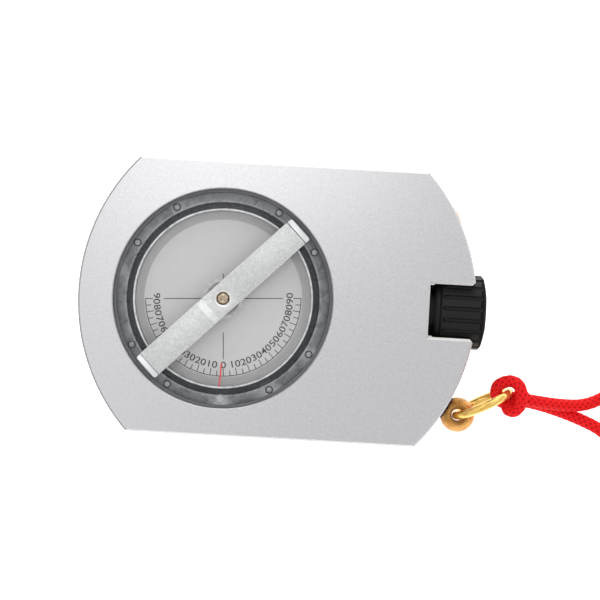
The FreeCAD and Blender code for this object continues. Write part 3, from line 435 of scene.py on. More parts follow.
@dataclass(frozen=True)
class Finish:
    """What every finish has: a plain surface with fine grain in its gloss and its relief."""

    name: str
    colour: str
    second: str
    metallic: float = 0.0
    roughness: float = 0.5
    ior: float = 1.5
    grain: float = 0.2
    relief: float = 0.01
    mottle: float = 4.0
    spread: float = 0.05
    coat: float = 0.0
    gleam: float = 0.5

    def build(self) -> bpy.types.Material:
        """Make the material, or find it where another piece has it already.

        Returns:
            A node material named for the finish.
        """
        known = bpy.data.materials.get(self.name)
        if known:
            return known
        material = bpy.data.materials.new(self.name)
        material.use_nodes = True
        tree = material.node_tree
        shader = tree.nodes["Principled BSDF"]
        shader.inputs["Metallic"].default_value = self.metallic
        if not self.metallic:
            shader.inputs["IOR"].default_value = self.ior
            shader.inputs["Specular IOR Level"].default_value = self.gleam
        shader.inputs["Coat Weight"].default_value = self.coat
        place = add_node(tree, "ShaderNodeTexCoord").outputs["Object"]
        fine, broad = (
            add_node(tree, "ShaderNodeTexNoise", {"Scale": 1 / (size * MM), **kind},
                     {"Vector": place})
            for size, kind in ((self.grain, FINE), (self.mottle, BROAD))
        )
        both = add_node(tree, "ShaderNodeMath", {"operation": "ADD"}, {0: fine, 1: broad})
        half = add_node(tree, "ShaderNodeMath", {"operation": "MULTIPLY", 1: 0.5}, {0: both})
        tones = (linear(self.second), linear(self.colour))
        shade = add_node(tree, "ShaderNodeValToRGB", {"stops": list(zip(TONE_SPAN, tones))},
                         {"Fac": half})
        gloss = add_node(tree, "ShaderNodeMapRange", {
            "From Min": GLOSS_SPAN[0], "From Max": GLOSS_SPAN[1],
            "To Min": self.roughness - self.spread, "To Max": self.roughness + self.spread,
        }, {"Value": fine})
        bump = add_node(tree, "ShaderNodeBump", {"Strength": 1.0, "Distance": self.relief * MM},
                        {"Height": fine})
        for name, node in (("Base Color", shade), ("Roughness", gloss), ("Normal", bump)):
            tree.links.new(node.outputs[0], shader.inputs[name])
        self.detail(tree, shader, place)
        return material

    def detail(
        self, tree: bpy.types.NodeTree, shader: bpy.types.Node, place: bpy.types.NodeSocket
    ) -> None:
        """Add what only this finish has; a plain finish has nothing more."""


@dataclass(frozen=True)
class RadialFinish(Finish):
    """A finish whose colour and clearness change with the distance from the capsule's axis."""

    centre: Point = CAPSULE_AXIS
    reach: float = 21.0
    rings: tuple[tuple[float, str, float], ...] = ()
    smudge: float = 0.0
    cloud_size: float = 1.6
    cloud_stops: tuple[float, float, float] = (0.35, 0.5, 0.72)
    glints: tuple[tuple[float, float, float, float], ...] = ()
    glint_colour: str = "#D6D7D8"

    def detail(
        self, tree: bpy.types.NodeTree, shader: bpy.types.Node, place: bpy.types.NodeSocket
    ) -> None:
        """Colour the rings, lighten the glints and set how clear each ring is.

        Args:
            tree: the material's node tree.
            shader: its surface shader.
            place: the object coordinates.
        """
        flat = add_node(tree, "ShaderNodeVectorMath", {"operation": "MULTIPLY", 1: (1, 1, 0)},
                        {0: place})
        away = add_node(tree, "ShaderNodeVectorMath",
                        {"operation": "DISTANCE", 1: metres(self.centre)}, {0: flat})
        reach = add_node(tree, "ShaderNodeMath",
                         {"operation": "MULTIPLY", 1: 1 / (self.reach * MM)},
                         {0: away.outputs["Value"]})
        colours = add_node(tree, "ShaderNodeValToRGB", {
            "stops": [(r / self.reach, linear(code)) for r, code, _ in self.rings]
        }, {"Fac": reach})
        clearness = add_node(tree, "ShaderNodeValToRGB", {
            "stops": [(r / self.reach, grey(alpha)) for r, _, alpha in self.rings]
        }, {"Fac": reach})
        cloud = add_node(tree, "ShaderNodeTexNoise",
                         {"Scale": 1 / (self.cloud_size * MM), **CLOUDS}, {"Vector": place})
        tones = (grey(1.0 - self.smudge), grey(1.0), grey(1.0 + self.smudge))
        veil = add_node(tree, "ShaderNodeValToRGB",
                        {"stops": list(zip(self.cloud_stops, tones))}, {"Fac": cloud})
        surface = add_node(tree, "ShaderNodeMix",
                           {"data_type": "RGBA", "blend_type": "MULTIPLY", "Factor": 1.0},
                           {6: colours, 7: veil}).outputs[2]
        for x, y, width, strength in self.glints:
            near = add_node(tree, "ShaderNodeVectorMath",
                            {"operation": "DISTANCE", 1: metres((x, y, 0.0))}, {0: flat})
            share = add_node(tree, "ShaderNodeMapRange", {
                "interpolation_type": "SMOOTHSTEP", "From Min": 0.0, "From Max": width * MM,
                "To Min": strength, "To Max": 0.0,
            }, {"Value": near.outputs["Value"]})
            lit = add_node(tree, "ShaderNodeMath", {"operation": "MULTIPLY"},
                           {0: share, 1: veil})
            surface = add_node(tree, "ShaderNodeMix", {
                "data_type": "RGBA", "blend_type": "MIX", 7: linear(self.glint_colour)
            }, {0: lit, 6: surface}).outputs[2]
        tree.links.new(surface, shader.inputs["Base Color"])
        tree.links.new(clearness.outputs[0], shader.inputs["Alpha"])


@dataclass(frozen=True)
class BraidFinish(Finish):
    """Braided polyester: V rows of yarn that follow the cord, with painted shade where the strands
    dive.
    """

    strands: float = 6.0
    pitch: float = 6.0
    # painted shade in the crevices where the strands dive
    valley: str = "#A90D14"
    yarn_stops: tuple[float, float, float] = (0.14, 0.5, 0.9)
    yarn_relief: float = 0.12
    yarn_strength: float = 0.8

    def detail(
        self, tree: bpy.types.NodeTree, shader: bpy.types.Node, place: bpy.types.NodeSocket
    ) -> None:
        """Lay the two families of strands over each other by the cord's own map.

        Args:
            tree: the material's node tree.
            shader: its surface shader.
            place: the object coordinates; not used.
        """
        chart = add_node(tree, "ShaderNodeUVMap", {"uv_map": "braid"})
        along = add_node(tree, "ShaderNodeSeparateXYZ", links={"Vector": chart})
        heights = []
        for sign in (1.0, -1.0):
            turn = add_node(tree, "ShaderNodeMath", {"operation": "MULTIPLY", 1: self.strands},
                            {0: along.outputs["X"]})
            run = add_node(tree, "ShaderNodeMath",
                           {"operation": "MULTIPLY_ADD", 1: sign * self.pitch},
                           {0: along.outputs["Y"], 2: turn})
            heights.append(
                add_node(tree, "ShaderNodeMath", {"operation": "PINGPONG", 1: 0.5}, {0: run})
            )
        top = add_node(tree, "ShaderNodeMath", {"operation": "MAXIMUM"}, dict(enumerate(heights)))
        full = add_node(tree, "ShaderNodeMath", {"operation": "MULTIPLY", 1: 2.0}, {0: top})
        tones = map(linear, (self.valley, self.second, self.colour))
        shade = add_node(tree, "ShaderNodeValToRGB",
                         {"stops": list(zip(self.yarn_stops, tones))}, {"Fac": full})
        bump = add_node(tree, "ShaderNodeBump",
                        {"Strength": self.yarn_strength, "Distance": self.yarn_relief * MM},
                        {"Height": top})
        tree.links.new(shade.outputs[0], shader.inputs["Base Color"])
        tree.links.new(bump.outputs[0], shader.inputs["Normal"])


@dataclass(frozen=True)
class ClearFinish(Finish):
    """Clear solids seen from outside: a thin veil with gloss, so what lies inside shows."""

    alpha: float = 0.2

    def detail(
        self, tree: bpy.types.NodeTree, shader: bpy.types.Node, place: bpy.types.NodeSocket
    ) -> None:
        """Set how clear the solid is; the values are the same all over it."""
        shader.inputs["Alpha"].default_value = self.alpha


# Aluminium blasted with fine bead and anodised natural: a soft white-grey sheen whose grain
# sparkles a little.
ANODISED = Finish("blasted_anodised_aluminium", "#CDCDCF", "#C5C5C7", metallic=1.0,
                  roughness=0.3, grain=0.26, relief=0.006, mottle=0.6, spread=0.04)
# The block's edge round its rear arc: a thin grey outline, painted shade on the side that the
# light doesn't reach.
REAR_EDGE_SHADE = replace(ANODISED, name="dulled_anodised_edge", colour="#929295", second="#88888B",
                      roughness=0.36)
# The same edge round the front arc, a lighter grey: painted shade that keeps the block's outline
# off the ground.
FRONT_EDGE_SHADE = replace(REAR_EDGE_SHADE, name="satin_anodised_edge", colour="#BABABC",
                     second="#AEAEB0")
# Edges that the cutter has broken beside the knob: pale and nearly matt, a painted highlight on
# the notch's chamfers.
CHAMFER_HIGHLIGHT = Finish("broken_aluminium_edge", "#F0ECEA", "#DEDBD9", metallic=0.2, roughness=0.5,
                     grain=0.3, relief=0.004)
# Sheet aluminium with a fine matt etch: even, and a little lighter than the housing.
ETCHED_SHEET = Finish("etched_sheet_aluminium", "#D8D9D9", "#C0C1C2", metallic=1.0,
                      roughness=0.46, grain=0.26, relief=0.008, mottle=0.5, spread=0.04)
# The same sheet on the slope of one bend: streaky and a little brighter, a painted highlight.
BEND_HIGHLIGHT = Finish("stretched_sheet_aluminium", "#E6E9E7", "#D2D5D4", metallic=1.0,
                         roughness=0.4, grain=0.3, relief=0.006, mottle=0.7, spread=0.05)
# Sheared, bent and countersunk edges of the same sheet: bright bare metal.
SHEARED = Finish("sheared_aluminium_edge", "#F4F5F6", "#E6E7E8", metallic=1.0,
                 roughness=0.28, grain=0.4, relief=0.004, spread=0.05)
# Turned aluminium of the blanking plug: matt and cream, so pale that it nearly goes into the
# floor.
TURNED_ALUMINIUM = Finish("turned_aluminium", "#DCD0C5", "#D4C8BD", metallic=0.1,
                          roughness=0.7, grain=0.3, relief=0.004)
# Acrylic hat of the capsule, polished over the dial and cloudy at its flange. Its rings paint
# light and shade:
# the dark band at its wall is painted shade, since light that enters there doesn't come back; the
# thin pale lines inside and outside the wall are painted highlights; the darker and paler bands
# round the middle are the painted shade and highlight of the dome under the bridge; the flange
# darkens towards its rim as painted shade. The glints are painted highlights on the flange.
COVER_ACRYLIC = RadialFinish(
    "moulded_acrylic_cover", "#FFFFFF", "#FFFFFF", roughness=0.12, ior=1.49, grain=0.5,
    relief=0.002, spread=0.03, smudge=0.34, rings=(
        (2.7, "#8C8C8A", 0.4), (3.15, "#8C8C8A", 0.4), (3.35, "#D9D8D5", 0.4),
        (3.75, "#DEDDD9", 0.35), (3.95, "#FFFFFF", 0.03), (16.84, "#FFFFFF", 0.03),
        (16.94, "#D6D9DB", 0.9), (17.14, "#D6D9DB", 0.9), (17.26, "#46484C", 0.35),
        (18.4, "#46484C", 0.35), (18.52, "#A2A4A6", 0.9), (18.74, "#9A9C9E", 0.9),
        (18.95, "#838587", 0.92), (19.7, "#747679", 0.92), (20.3, "#5E6063", 0.92)),
    glints=((-9.7, -21.2, 3.7, 0.95), (0.1, -18.3, 4.2, 0.6), (7.8, -10.6, 3.6, 0.6),
            (-25.6, -14.4, 3.0, 0.35), (-20.3, 18.4, 3.0, 0.35), (-31.0, 4.3, 3.2, 0.35)))
# Bosses of the same moulding: small domes, lighter as their painted highlight and darker at their
# foot as their painted shade.
BOSS_DOME_HIGHLIGHT = Finish("acrylic_boss_dome", "#A6A9AC", "#85888C", roughness=0.08, ior=1.49,
                   grain=0.5, relief=0.002, spread=0.03, coat=0.6)
BOSS_FOOT_SHADE = replace(BOSS_DOME_HIGHLIGHT, name="acrylic_boss_foot", colour="#3C3D40", second="#2F3033",
                    roughness=0.15, coat=0.0)
# Acrylic cup under the flange, moulded: near-black at its wall, painted shade where one looks down
# the wall into the dark, and darker towards the flange's rim, painted shade beside the bore's
# wall.
CUP_ACRYLIC = RadialFinish(
    "moulded_acrylic_cup", "#8C8E91", "#77797C", roughness=0.2, ior=1.49, grain=0.6,
    relief=0.004, smudge=0.12, rings=(
        (16.9, "#8C8E91", 0.5), (17.25, "#46484C", 1.0), (18.45, "#46484C", 1.0),
        (18.6, "#6F7174", 1.0), (20.3, "#54565A", 1.0)))
# Matt enamel on the dial card, with the rim a darker grey that turns lighter towards its edge:
# painted light against the shade of the capsule's wall.
DIAL_ENAMEL = RadialFinish(
    "matt_enamel", "#CACACA", "#C6C6C6", roughness=0.62, grain=0.25, relief=0.003,
    smudge=0.012, rings=(
        (15.12, "#CACACA", 1.0), (15.2, "#B8B8B9", 1.0), (15.9, "#C1C1C2", 1.0),
        (16.8, "#D6D6D7", 1.0)))
# Printed ink, dark grey.
PRINT_INK = Finish("screen_print_ink", "#2C2D2F", "#242527", roughness=0.6, grain=0.2,
                   relief=0.001)
# Red lacquer in the index groove.
INDEX_LACQUER = Finish("red_lacquer", "#EE1F28", "#DA1720", roughness=0.35, grain=0.3,
                       relief=0.002)
# Nitrile rubber: dull grey that takes the light softly.
NITRILE = Finish("nitrile_rubber", "#7A7B7D", "#6A6B6D", roughness=0.7, grain=0.3,
                 relief=0.01)
# Acetal, moulded black: the fine matt of a spark-eroded mould takes most of its gloss off.
ACETAL = Finish("moulded_black_acetal", "#181817", "#111110", roughness=0.46, ior=1.48,
                grain=0.25, relief=0.008, mottle=2.5, spread=0.06, gleam=0.26)
# End of the same knob, dead matt and black to its edge: its darker tone is painted shade, where
# the end turns away from the light above.
KNOB_END_SHADE = replace(ACETAL, name="worn_black_acetal", colour="#121211", second="#0C0C0B",
                     roughness=0.85, spread=0.05, gleam=0.04)
# Acrylic cement over the filling port: pale and cloudy.
CEMENT = Finish("acrylic_cement", "#CDCFD1", "#A6A8AB", roughness=0.35, grain=0.4,
                relief=0.02, mottle=0.8)
# Brass that has been handled: golden, browner where its tarnish has set.
AGED_BRASS = Finish("aged_brass", "#DCA75C", "#AE7429", metallic=0.72, roughness=0.4,
                    grain=0.35, relief=0.01, mottle=1.3, spread=0.08)
# Brass wire, drawn and polished: bright gold with dark reflections.
POLISHED_BRASS = Finish("polished_brass", "#F4CF7C", "#E3B456", metallic=0.8, roughness=0.12,
                        grain=0.5, relief=0.002, mottle=2.5, spread=0.04)
# Mouth of the stud's hole: paler brass, painted light against the shade inside the hole.
HOLE_MOUTH_LIGHT = Finish("rubbed_brass", "#F6D694", "#E2B467", metallic=0.35, roughness=0.42,
                      grain=0.35, relief=0.006, mottle=1.3, spread=0.06)
# Neck of the stud on the housing's side: brown-black, painted shade where the ball meets the
# housing.
NECK_SHADE = Finish("tarnished_brass", "#4A3720", "#2B2013", metallic=0.3, roughness=0.5,
                 grain=0.35, relief=0.01, mottle=1.0)
# Nickel-bronze of the pivot screw: grey-brown, with a grainy shine.
SCREW_BRONZE = Finish("nickel_bronze", "#D6C7B2", "#927F6B", metallic=1.0, roughness=0.3,
                      grain=0.2, relief=0.014, mottle=0.5, spread=0.08)
# Turned brass without polish, for the hub, the weight and the bush.
TURNED_BRASS = Finish("turned_brass", "#B99B70", "#8E7148", metallic=1.0, roughness=0.34,
                      grain=0.25, relief=0.012, mottle=0.9, spread=0.08)
# Ground steel of the axle.
STEEL = Finish("ground_steel", "#C8CACC", "#B4B6B8", metallic=1.0, roughness=0.2,
               grain=0.3, relief=0.002)
# Synthetic sapphire of the bearings: clear pink.
SAPPHIRE = Finish("synthetic_sapphire", "#C9566B", "#B84A60", roughness=0.1, ior=1.77,
                  grain=0.5, relief=0.001)
# Crown glass, coated.
GLASS = ClearFinish("crown_glass", "#DCE6E4", "#D2DEDC", roughness=0.04, ior=1.52,
                    grain=1.0, relief=0.0005, alpha=0.35, coat=0.3)
# Brass and aluminium inside the sight tube, blackened against glare.
BLACKENED = Finish("blackened_metal", "#2A2A2B", "#1F1F20", metallic=0.6, roughness=0.5,
                   grain=0.3, relief=0.006)
# Polyester film of the edge scale: cream, satin.
FILM = Finish("polyester_film", "#E4E1D6", "#DAD7CB", roughness=0.4, grain=0.5, relief=0.002)
# Polyester yarn, braided round a core: bright red with a soft sheen on the yarns.
BRAID = BraidFinish("braided_polyester", "#F31C1F", "#DC1217", roughness=0.7, grain=0.12,
                    relief=0.02, spread=0.05, gleam=0.15)
# Silicone rubber of the tie.
SILICONE = Finish("silicone_rubber", "#2B2B2C", "#202021", roughness=0.6, grain=0.4,
                  relief=0.008)
# Glazed light table: white all over, so a piece on it throws next to no shadow.
TABLE_GLAZE = Finish("opal_glass", "#FFFFFF", "#FAFAFA", roughness=0.6, grain=5.0,
                     relief=0.0005)


# ---------------------------------------------------------------------------------------
# Studio
# ---------------------------------------------------------------------------------------

@dataclass(frozen=True)
class Lamp:
    """One soft box: its name, place and sides in millimetres, and its power in watts."""

    name: str
    place: Point
    width: float
    height: float
    power: float


@dataclass
class Studio:
    """The camera straight overhead with a long lens, the soft lights and the floor."""

    aim: Point = (4.31, 0.54, 15.0)
    distance: float = 700.0
    lens: float = 220.3
    sensor: float = 36.0
    clip: Span = (0.01, 10.0)
    floor_size: float = 3000.0
    floor_level: float = -0.02
    floor_glow: float = 1.0
    floor_cuts: int = 4
    sky: float = 0.87
    lamps: tuple[Lamp, ...] = (
        Lamp("over_top_edge", (-12.0, 46.0, 170.0), 70.0, 60.0, 0.0150),
        Lamp("left_panel", (-95.0, -10.0, 220.0), 150.0, 150.0, 0.018),
        Lamp("back_panel", (0.0, 480.0, 150.0), 520.0, 240.0, 0.42),
        Lamp("right_panel", (210.0, 215.0, 290.0), 200.0, 200.0, 0.085),
    )

    def place_camera(self) -> None:
        """Hang the camera over the dial, turned so that the card's zero line is upright."""
        data = bpy.data.cameras.new("overhead_camera")
        data.lens, data.sensor_width = self.lens, self.sensor
        data.clip_start, data.clip_end = self.clip
        camera = bpy.data.objects.new("overhead_camera", data)
        bpy.context.scene.collection.objects.link(camera)
        camera.location = metres(self.aim) + Vector((0, 0, self.distance * MM))
        camera.rotation_euler = (0, 0, PLUMB_ANGLE)
        bpy.context.scene.camera = camera

    def light(self) -> None:
        """Set the even sky and the soft boxes, all of them turned to the instrument."""
        world = bpy.data.worlds.new("studio_sky")
        world.use_nodes = True
        back = world.node_tree.nodes["Background"]
        back.inputs["Color"].default_value = linear("#FFFFFF")
        back.inputs["Strength"].default_value = self.sky
        bpy.context.scene.world = world
        for lamp in self.lamps:
            data = bpy.data.lights.new(lamp.name, "AREA")
            data.shape, data.energy = "RECTANGLE", lamp.power
            data.size, data.size_y = lamp.width * MM, lamp.height * MM
            box = bpy.data.objects.new(lamp.name, data)
            bpy.context.scene.collection.objects.link(box)
            box.location = metres(lamp.place)
            aim = metres(self.aim) - box.location
            box.rotation_euler = aim.to_track_quat("-Z", "Y").to_euler()
        bpy.context.scene.view_settings.view_transform = "Standard"

    def lay_floor(self) -> None:
        """Lay the light table that the instrument lies on."""
        take()
        bpy.ops.mesh.primitive_plane_add(
            size=self.floor_size * MM, location=(0, 0, self.floor_level * MM)
        )
        floor = bpy.context.object
        with editing():
            bpy.ops.mesh.subdivide(number_cuts=self.floor_cuts)
        settle(floor, "light_table")
        material = TABLE_GLAZE.build()
        shader = material.node_tree.nodes["Principled BSDF"]
        shader.inputs["Emission Color"].default_value = linear("#FFFFFF")
        shader.inputs["Emission Strength"].default_value = self.floor_glow
        floor.data.materials.append(material)

    def build(self) -> None:
        """Set up the whole studio."""
        self.place_camera()
        self.light()
        self.lay_floor()


# ---------------------------------------------------------------------------------------
# Lanyard
# ---------------------------------------------------------------------------------------

def smooth_line(points: Sequence[Vector], fineness: int = 12) -> list[Vector]:
    """Read a smooth line from a NURBS spline with these control points.

    Args:
        points: the control points, in metres.
        fineness: how finely each span is divided.

    Returns:
        The points of the line, in order.
    """
    curve = bpy.data.curves.new("route", "CURVE")
    curve.dimensions = "3D"
    curve.resolution_u = fineness
    spline = curve.splines.new("NURBS")
    spline.points.add(len(points) - 1)
    for place, point in zip(spline.points, points):
        place.co = (*point, 1.0)
    spline.order_u = 3
    spline.use_endpoint_u = True
    carrier = bpy.data.objects.new("route", curve)
    bpy.context.scene.collection.objects.link(carrier)
    bpy.context.view_layer.update()
    mesh = bpy.data.meshes.new_from_object(carrier)
    line = [vertex.co.copy() for vertex in mesh.vertices]
    bpy.data.objects.remove(carrier)
    bpy.data.curves.remove(curve)
    bpy.data.meshes.remove(mesh)
    return line


def length_of(line: Sequence[Vector]) -> float:
    """The length of a line of points."""
    return sum((b - a).length for a, b in zip(line, line[1:]))


def ease(share: float) -> float:
    """Turn a steady rise into one that starts and ends softly, held between nil and one."""
    share = min(max(share, 0.0), 1.0)
    return share * share * (3 - 2 * share)


@dataclass
class BraidedTube:
    """A tube along a line with the relief of a round braid and a map that follows it."""

    radius: float = 1.2
    relief: float = 0.14
    around: int = 48
    strands: int = 6
    pitch: float = 6.0
    fine_step: float = 0.16
    coarse_step: float = 1.4
    least_step: float = 0.001
    fade_reach: float = 1.1
    fade: float = 2.0

    def height(self, turn: float, run: float, strength: float) -> float:
        """The radius of the tube in metres at one place of the braid.

        Args:
            turn: the way round the cord, from nil to one.
            run: the way along it, in cord circumferences.
            strength: how much of the relief is left there.

        Returns:
            The radius.
        """
        over = abs(math.sin(math.pi * (self.strands * turn + self.pitch * run)))
        under = abs(math.sin(math.pi * (self.strands * turn - self.pitch * run)))
        return (self.radius - self.relief * strength * (1 - max(over, under))) * MM

    def stations(self, line: Sequence[Vector], fine_ends: float) -> list[tuple[Vector, float]]:
        """Places along the line, close together near its ends and wider between.

        Args:
            line: the points of the line.
            fine_ends: length in millimetres at each end that is divided finely.

        Returns:
            Each place with its distance along the line, in metres.
        """
        total = length_of(line)
        found, done, wanted = [(line[0].copy(), 0.0)], 0.0, self.fine_step * MM
        for start, end in zip(line, line[1:]):
            span = (end - start).length
            while span and wanted <= done + span and wanted < total - self.least_step * MM:
                found.append((start.lerp(end, (wanted - done) / span), wanted))
                near = min(wanted, total - wanted) < fine_ends * MM
                wanted += (self.fine_step if near else self.coarse_step) * MM
            done += span
        found.append((line[-1].copy(), total))
        return found

    def build(self, name: str, line: Sequence[Vector], fine_ends: float) -> bpy.types.Object:
        """Make the tube.

        Args:
            name: the piece's name.
            line: what its middle follows.
            fine_ends: length in millimetres at each end that shows its relief.

        Returns:
            The tube, with the map "braid".
        """
        places = self.stations(line, fine_ends)
        total = places[-1][1]
        circumference = 2 * math.pi * self.radius * MM
        vertices, runs = [], []
        side = Vector((0, 0, 1))
        for index, (place, done) in enumerate(places):
            before, after = places[max(index - 1, 0)], places[min(index + 1, len(places) - 1)]
            ahead = (after[0] - before[0]).normalized()
            side = (side - ahead * side.dot(ahead)).normalized()
            other = ahead.cross(side)
            run = done / circumference
            left = fine_ends * MM * self.fade_reach - min(done, total - done)
            strength = min(1.0, max(0.0, left) / (self.fade * MM))
            for k in range(self.around):
                turn = k / self.around
                spoke = side * math.cos(2 * math.pi * turn) + other * math.sin(2 * math.pi * turn)
                vertices.append(place + spoke * self.height(turn, run, strength))
            runs.append(run)
        faces, map_points = [], []
        for ring in range(len(places) - 1):
            for k in range(self.around):
                corners = ((ring, k), (ring, k + 1), (ring + 1, k + 1), (ring + 1, k))
                faces.append([r * self.around + c % self.around for r, c in corners])
                map_points.extend((c / self.around, runs[r]) for r, c in corners)
        ends = (list(reversed(range(self.around))),
                [(len(places) - 1) * self.around + k for k in range(self.around)])
        for end in ends:
            faces.append(end)
            map_points.extend((k / self.around, 0.0) for k in range(self.around))
        mesh = bpy.data.meshes.new(name)
        mesh.from_pydata(vertices, [], faces)
        layer = mesh.uv_layers.new(name="braid")
        for corner, point in zip(layer.data, map_points):
            corner.uv = point
        mesh.shade_smooth()
        tube = bpy.data.objects.new(name, mesh)
        bpy.context.scene.collection.objects.link(tube)
        return tube


@dataclass
class Lanyard:
    """The wire ring through the stud, the knot on it, and the cord in its coil with a tie."""

    knot: Point = (45.521, -14.835, 0.0)
    cord_radius: float = 1.2
    coil_centre: Point = (92.321, -17.335, 0.0)
    layers: tuple[float, float] = (1.2, 3.5)
    coil_radii: tuple[float, ...] = (17.6, 15.2, 12.8, 10.4)
    points_per_turn: int = 20
    shifts_per_turn: float = 6.0
    inward_shift: float = 5 / 6
    outward_shift: float = 7 / 12
    climb_turns: float = 0.25
    cord_length: float = 765.0
    braided_ends: float = 24.0
    knot_radius: float = 1.19
    knot_step: float = 0.18
    tie_round: float = 0.2
    upper_y: float = 15.1
    lower_y: float = -20.1
    stub_x: float = 37.3
    knot_path: tuple[Point, ...] = (
        (48.4, -16.4, 5.2), (46.9, -17.1, 4.9), (45.2, -17.25, 5.0), (43.7, -16.65, 6.1),
        (43.0, -15.3, 7.0), (43.1, -13.9, 8.0), (44.1, -13.1, 8.9), (45.6, -12.6, 9.6),
        (47.1, -13.2, 10.1), (47.75, -14.5, 10.4), (47.9, -16.1, 10.2), (47.7, -17.4, 9.6),
        (46.9, -18.5, 8.9), (45.5, -18.5, 8.2), (45.2, -17.5, 7.5), (46.6, -16.9, 7.0),
        (47.95, -14.55, 6.8), (48.7, -16.0, 7.6),
    )
    ring_centre: Point = (40.5533, -17.3655, 7.5)
    ring_radius: float = 5.575
    ring_wire: float = 0.8
    ring_direction: float = 27.0
    ring_tilt: float = 5.0
    ring_steps: tuple[int, int] = (128, 32)

    def routes(self) -> tuple[list[Point], list[Point]]:
        """The two strands' routes from the knot, as offsets from it.

        Returns:
            The upper strand's points and the lower strand's.
        """
        upper = [
            (2.9, -1.27, 7.65), (6.2, -1.7, 6.7), (10.6, -2.1, 4.2), (15.2, -2.0, 1.9),
            (19.8, 0.3, 1.2), (23.2, 4.4, 1.2), (25.5, 8.9, 1.4), (28.7, 12.9, 2.5),
            (33.0, self.upper_y, 3.5), (self.stub_x, self.upper_y, 3.5),
        ]
        lower = [
            (2.7, -1.6, 5.2), (5.8, -2.1, 4.1), (9.6, -3.1, 1.8), (14.0, -4.5, 1.2),
            (19.0, -6.6, 1.2), (22.8, -10.5, 1.2), (25.7, -15.1, 1.2), (29.0, -18.6, 1.2),
            (33.2, self.lower_y, 1.2), (self.stub_x, self.lower_y, 1.2),
        ]
        return upper, lower

    def coil_place(self, turns: float) -> Point:
        """Where the cord is in its coil: in over the floor layer, then out over the top one.

        Args:
            turns: how many turns it has made since it came in at the near side.

        Returns:
            The control point's offset from the coil's middle.
        """
        rows = len(self.coil_radii)
        whole, part = int(turns), turns % 1.0
        inward = whole < rows
        start = self.inward_shift if inward else self.outward_shift
        share = ease((part - start) * self.shifts_per_turn)
        row = min(whole, rows - 1) if inward else max(2 * rows - 1 - whole, 0)
        target = min(row + 1, rows - 1) if inward else max(row - 1, 0)
        radius = self.coil_radii[row] + (self.coil_radii[target] - self.coil_radii[row]) * share
        rise = ease((turns - (rows - self.climb_turns)) * self.shifts_per_turn)
        level = self.layers[0] + (self.layers[1] - self.layers[0]) * rise
        # a spline cuts inside its control points by this share
        radius /= math.cos(math.pi / self.points_per_turn)
        angle = 2 * math.pi * turns - math.pi / 2
        return (radius * math.cos(angle), radius * math.sin(angle), level)

    def cord_points(self) -> list[Vector]:
        """The whole cord's control points, from the lower strand through the coil and back."""
        upper, lower = self.routes()
        knot, middle = Vector(self.knot), Vector(self.coil_centre)
        turns = 2 * len(self.coil_radii) - 0.5
        coil = [middle + Vector(self.coil_place(k / self.points_per_turn))
                for k in range(round(turns * self.points_per_turn) + 1)]
        strands = [knot + Vector(p) for p in lower], [knot + Vector(p) for p in reversed(upper)]
        return [point * MM for point in strands[0] + coil + strands[1]]

    def build_ring(self) -> bpy.types.Object:
        """Bend the wire ring, closed, and hang it in the stud's hole with its lean.

        Returns:
            The ring.
        """
        take()
        bpy.ops.mesh.primitive_torus_add(
            major_radius=self.ring_radius * MM, minor_radius=self.ring_wire * MM,
            major_segments=self.ring_steps[0], minor_segments=self.ring_steps[1],
        )
        ring = bpy.context.object
        turn = math.radians(self.ring_direction)
        along = Vector((math.cos(turn), math.sin(turn), 0))
        across = Vector((-math.sin(turn), math.cos(turn), 0))
        tilt = math.radians(self.ring_tilt)
        up = Vector((0, 0, 1)) * math.cos(tilt) - across * math.sin(tilt)
        axis = along.cross(up)
        ring.matrix_world = Matrix.Translation(metres(self.ring_centre)) @ Matrix(
            (along, up, axis)
        ).transposed().to_4x4()
        return settle(ring, "wire_ring", crease=60)

    def build(self) -> None:
        """Make and lay out the lanyard."""
        line = smooth_line(self.cord_points())
        LOG.info("the cord is %.1f mm long", length_of(line) / MM)
        cord = BraidedTube(self.cord_radius).build("lanyard_cord", line, self.braided_ends)
        install(cord, Body.LANYARD, [BRAID],
                ["cord_upper_lead", "cord_lower_lead", "cord_coil"])
        knot_line = smooth_line([metres(p) for p in self.knot_path])
        knot = BraidedTube(self.knot_radius, fine_step=self.knot_step).build(
            "lanyard_knot", knot_line, length_of(knot_line) / MM
        )
        install(knot, Body.LANYARD, [BRAID], ["cord_knot"])
        tie = softened("cord_tie", "coil_tie", self.tie_round, 3)
        install(tie, Body.LANYARD, [SILICONE], ["cord_tie"])
        install(self.build_ring(), Body.LANYARD, [POLISHED_BRASS],
                ["lanyard_ring"])


# ---------------------------------------------------------------------------------------
# Capsule and dial
# ---------------------------------------------------------------------------------------

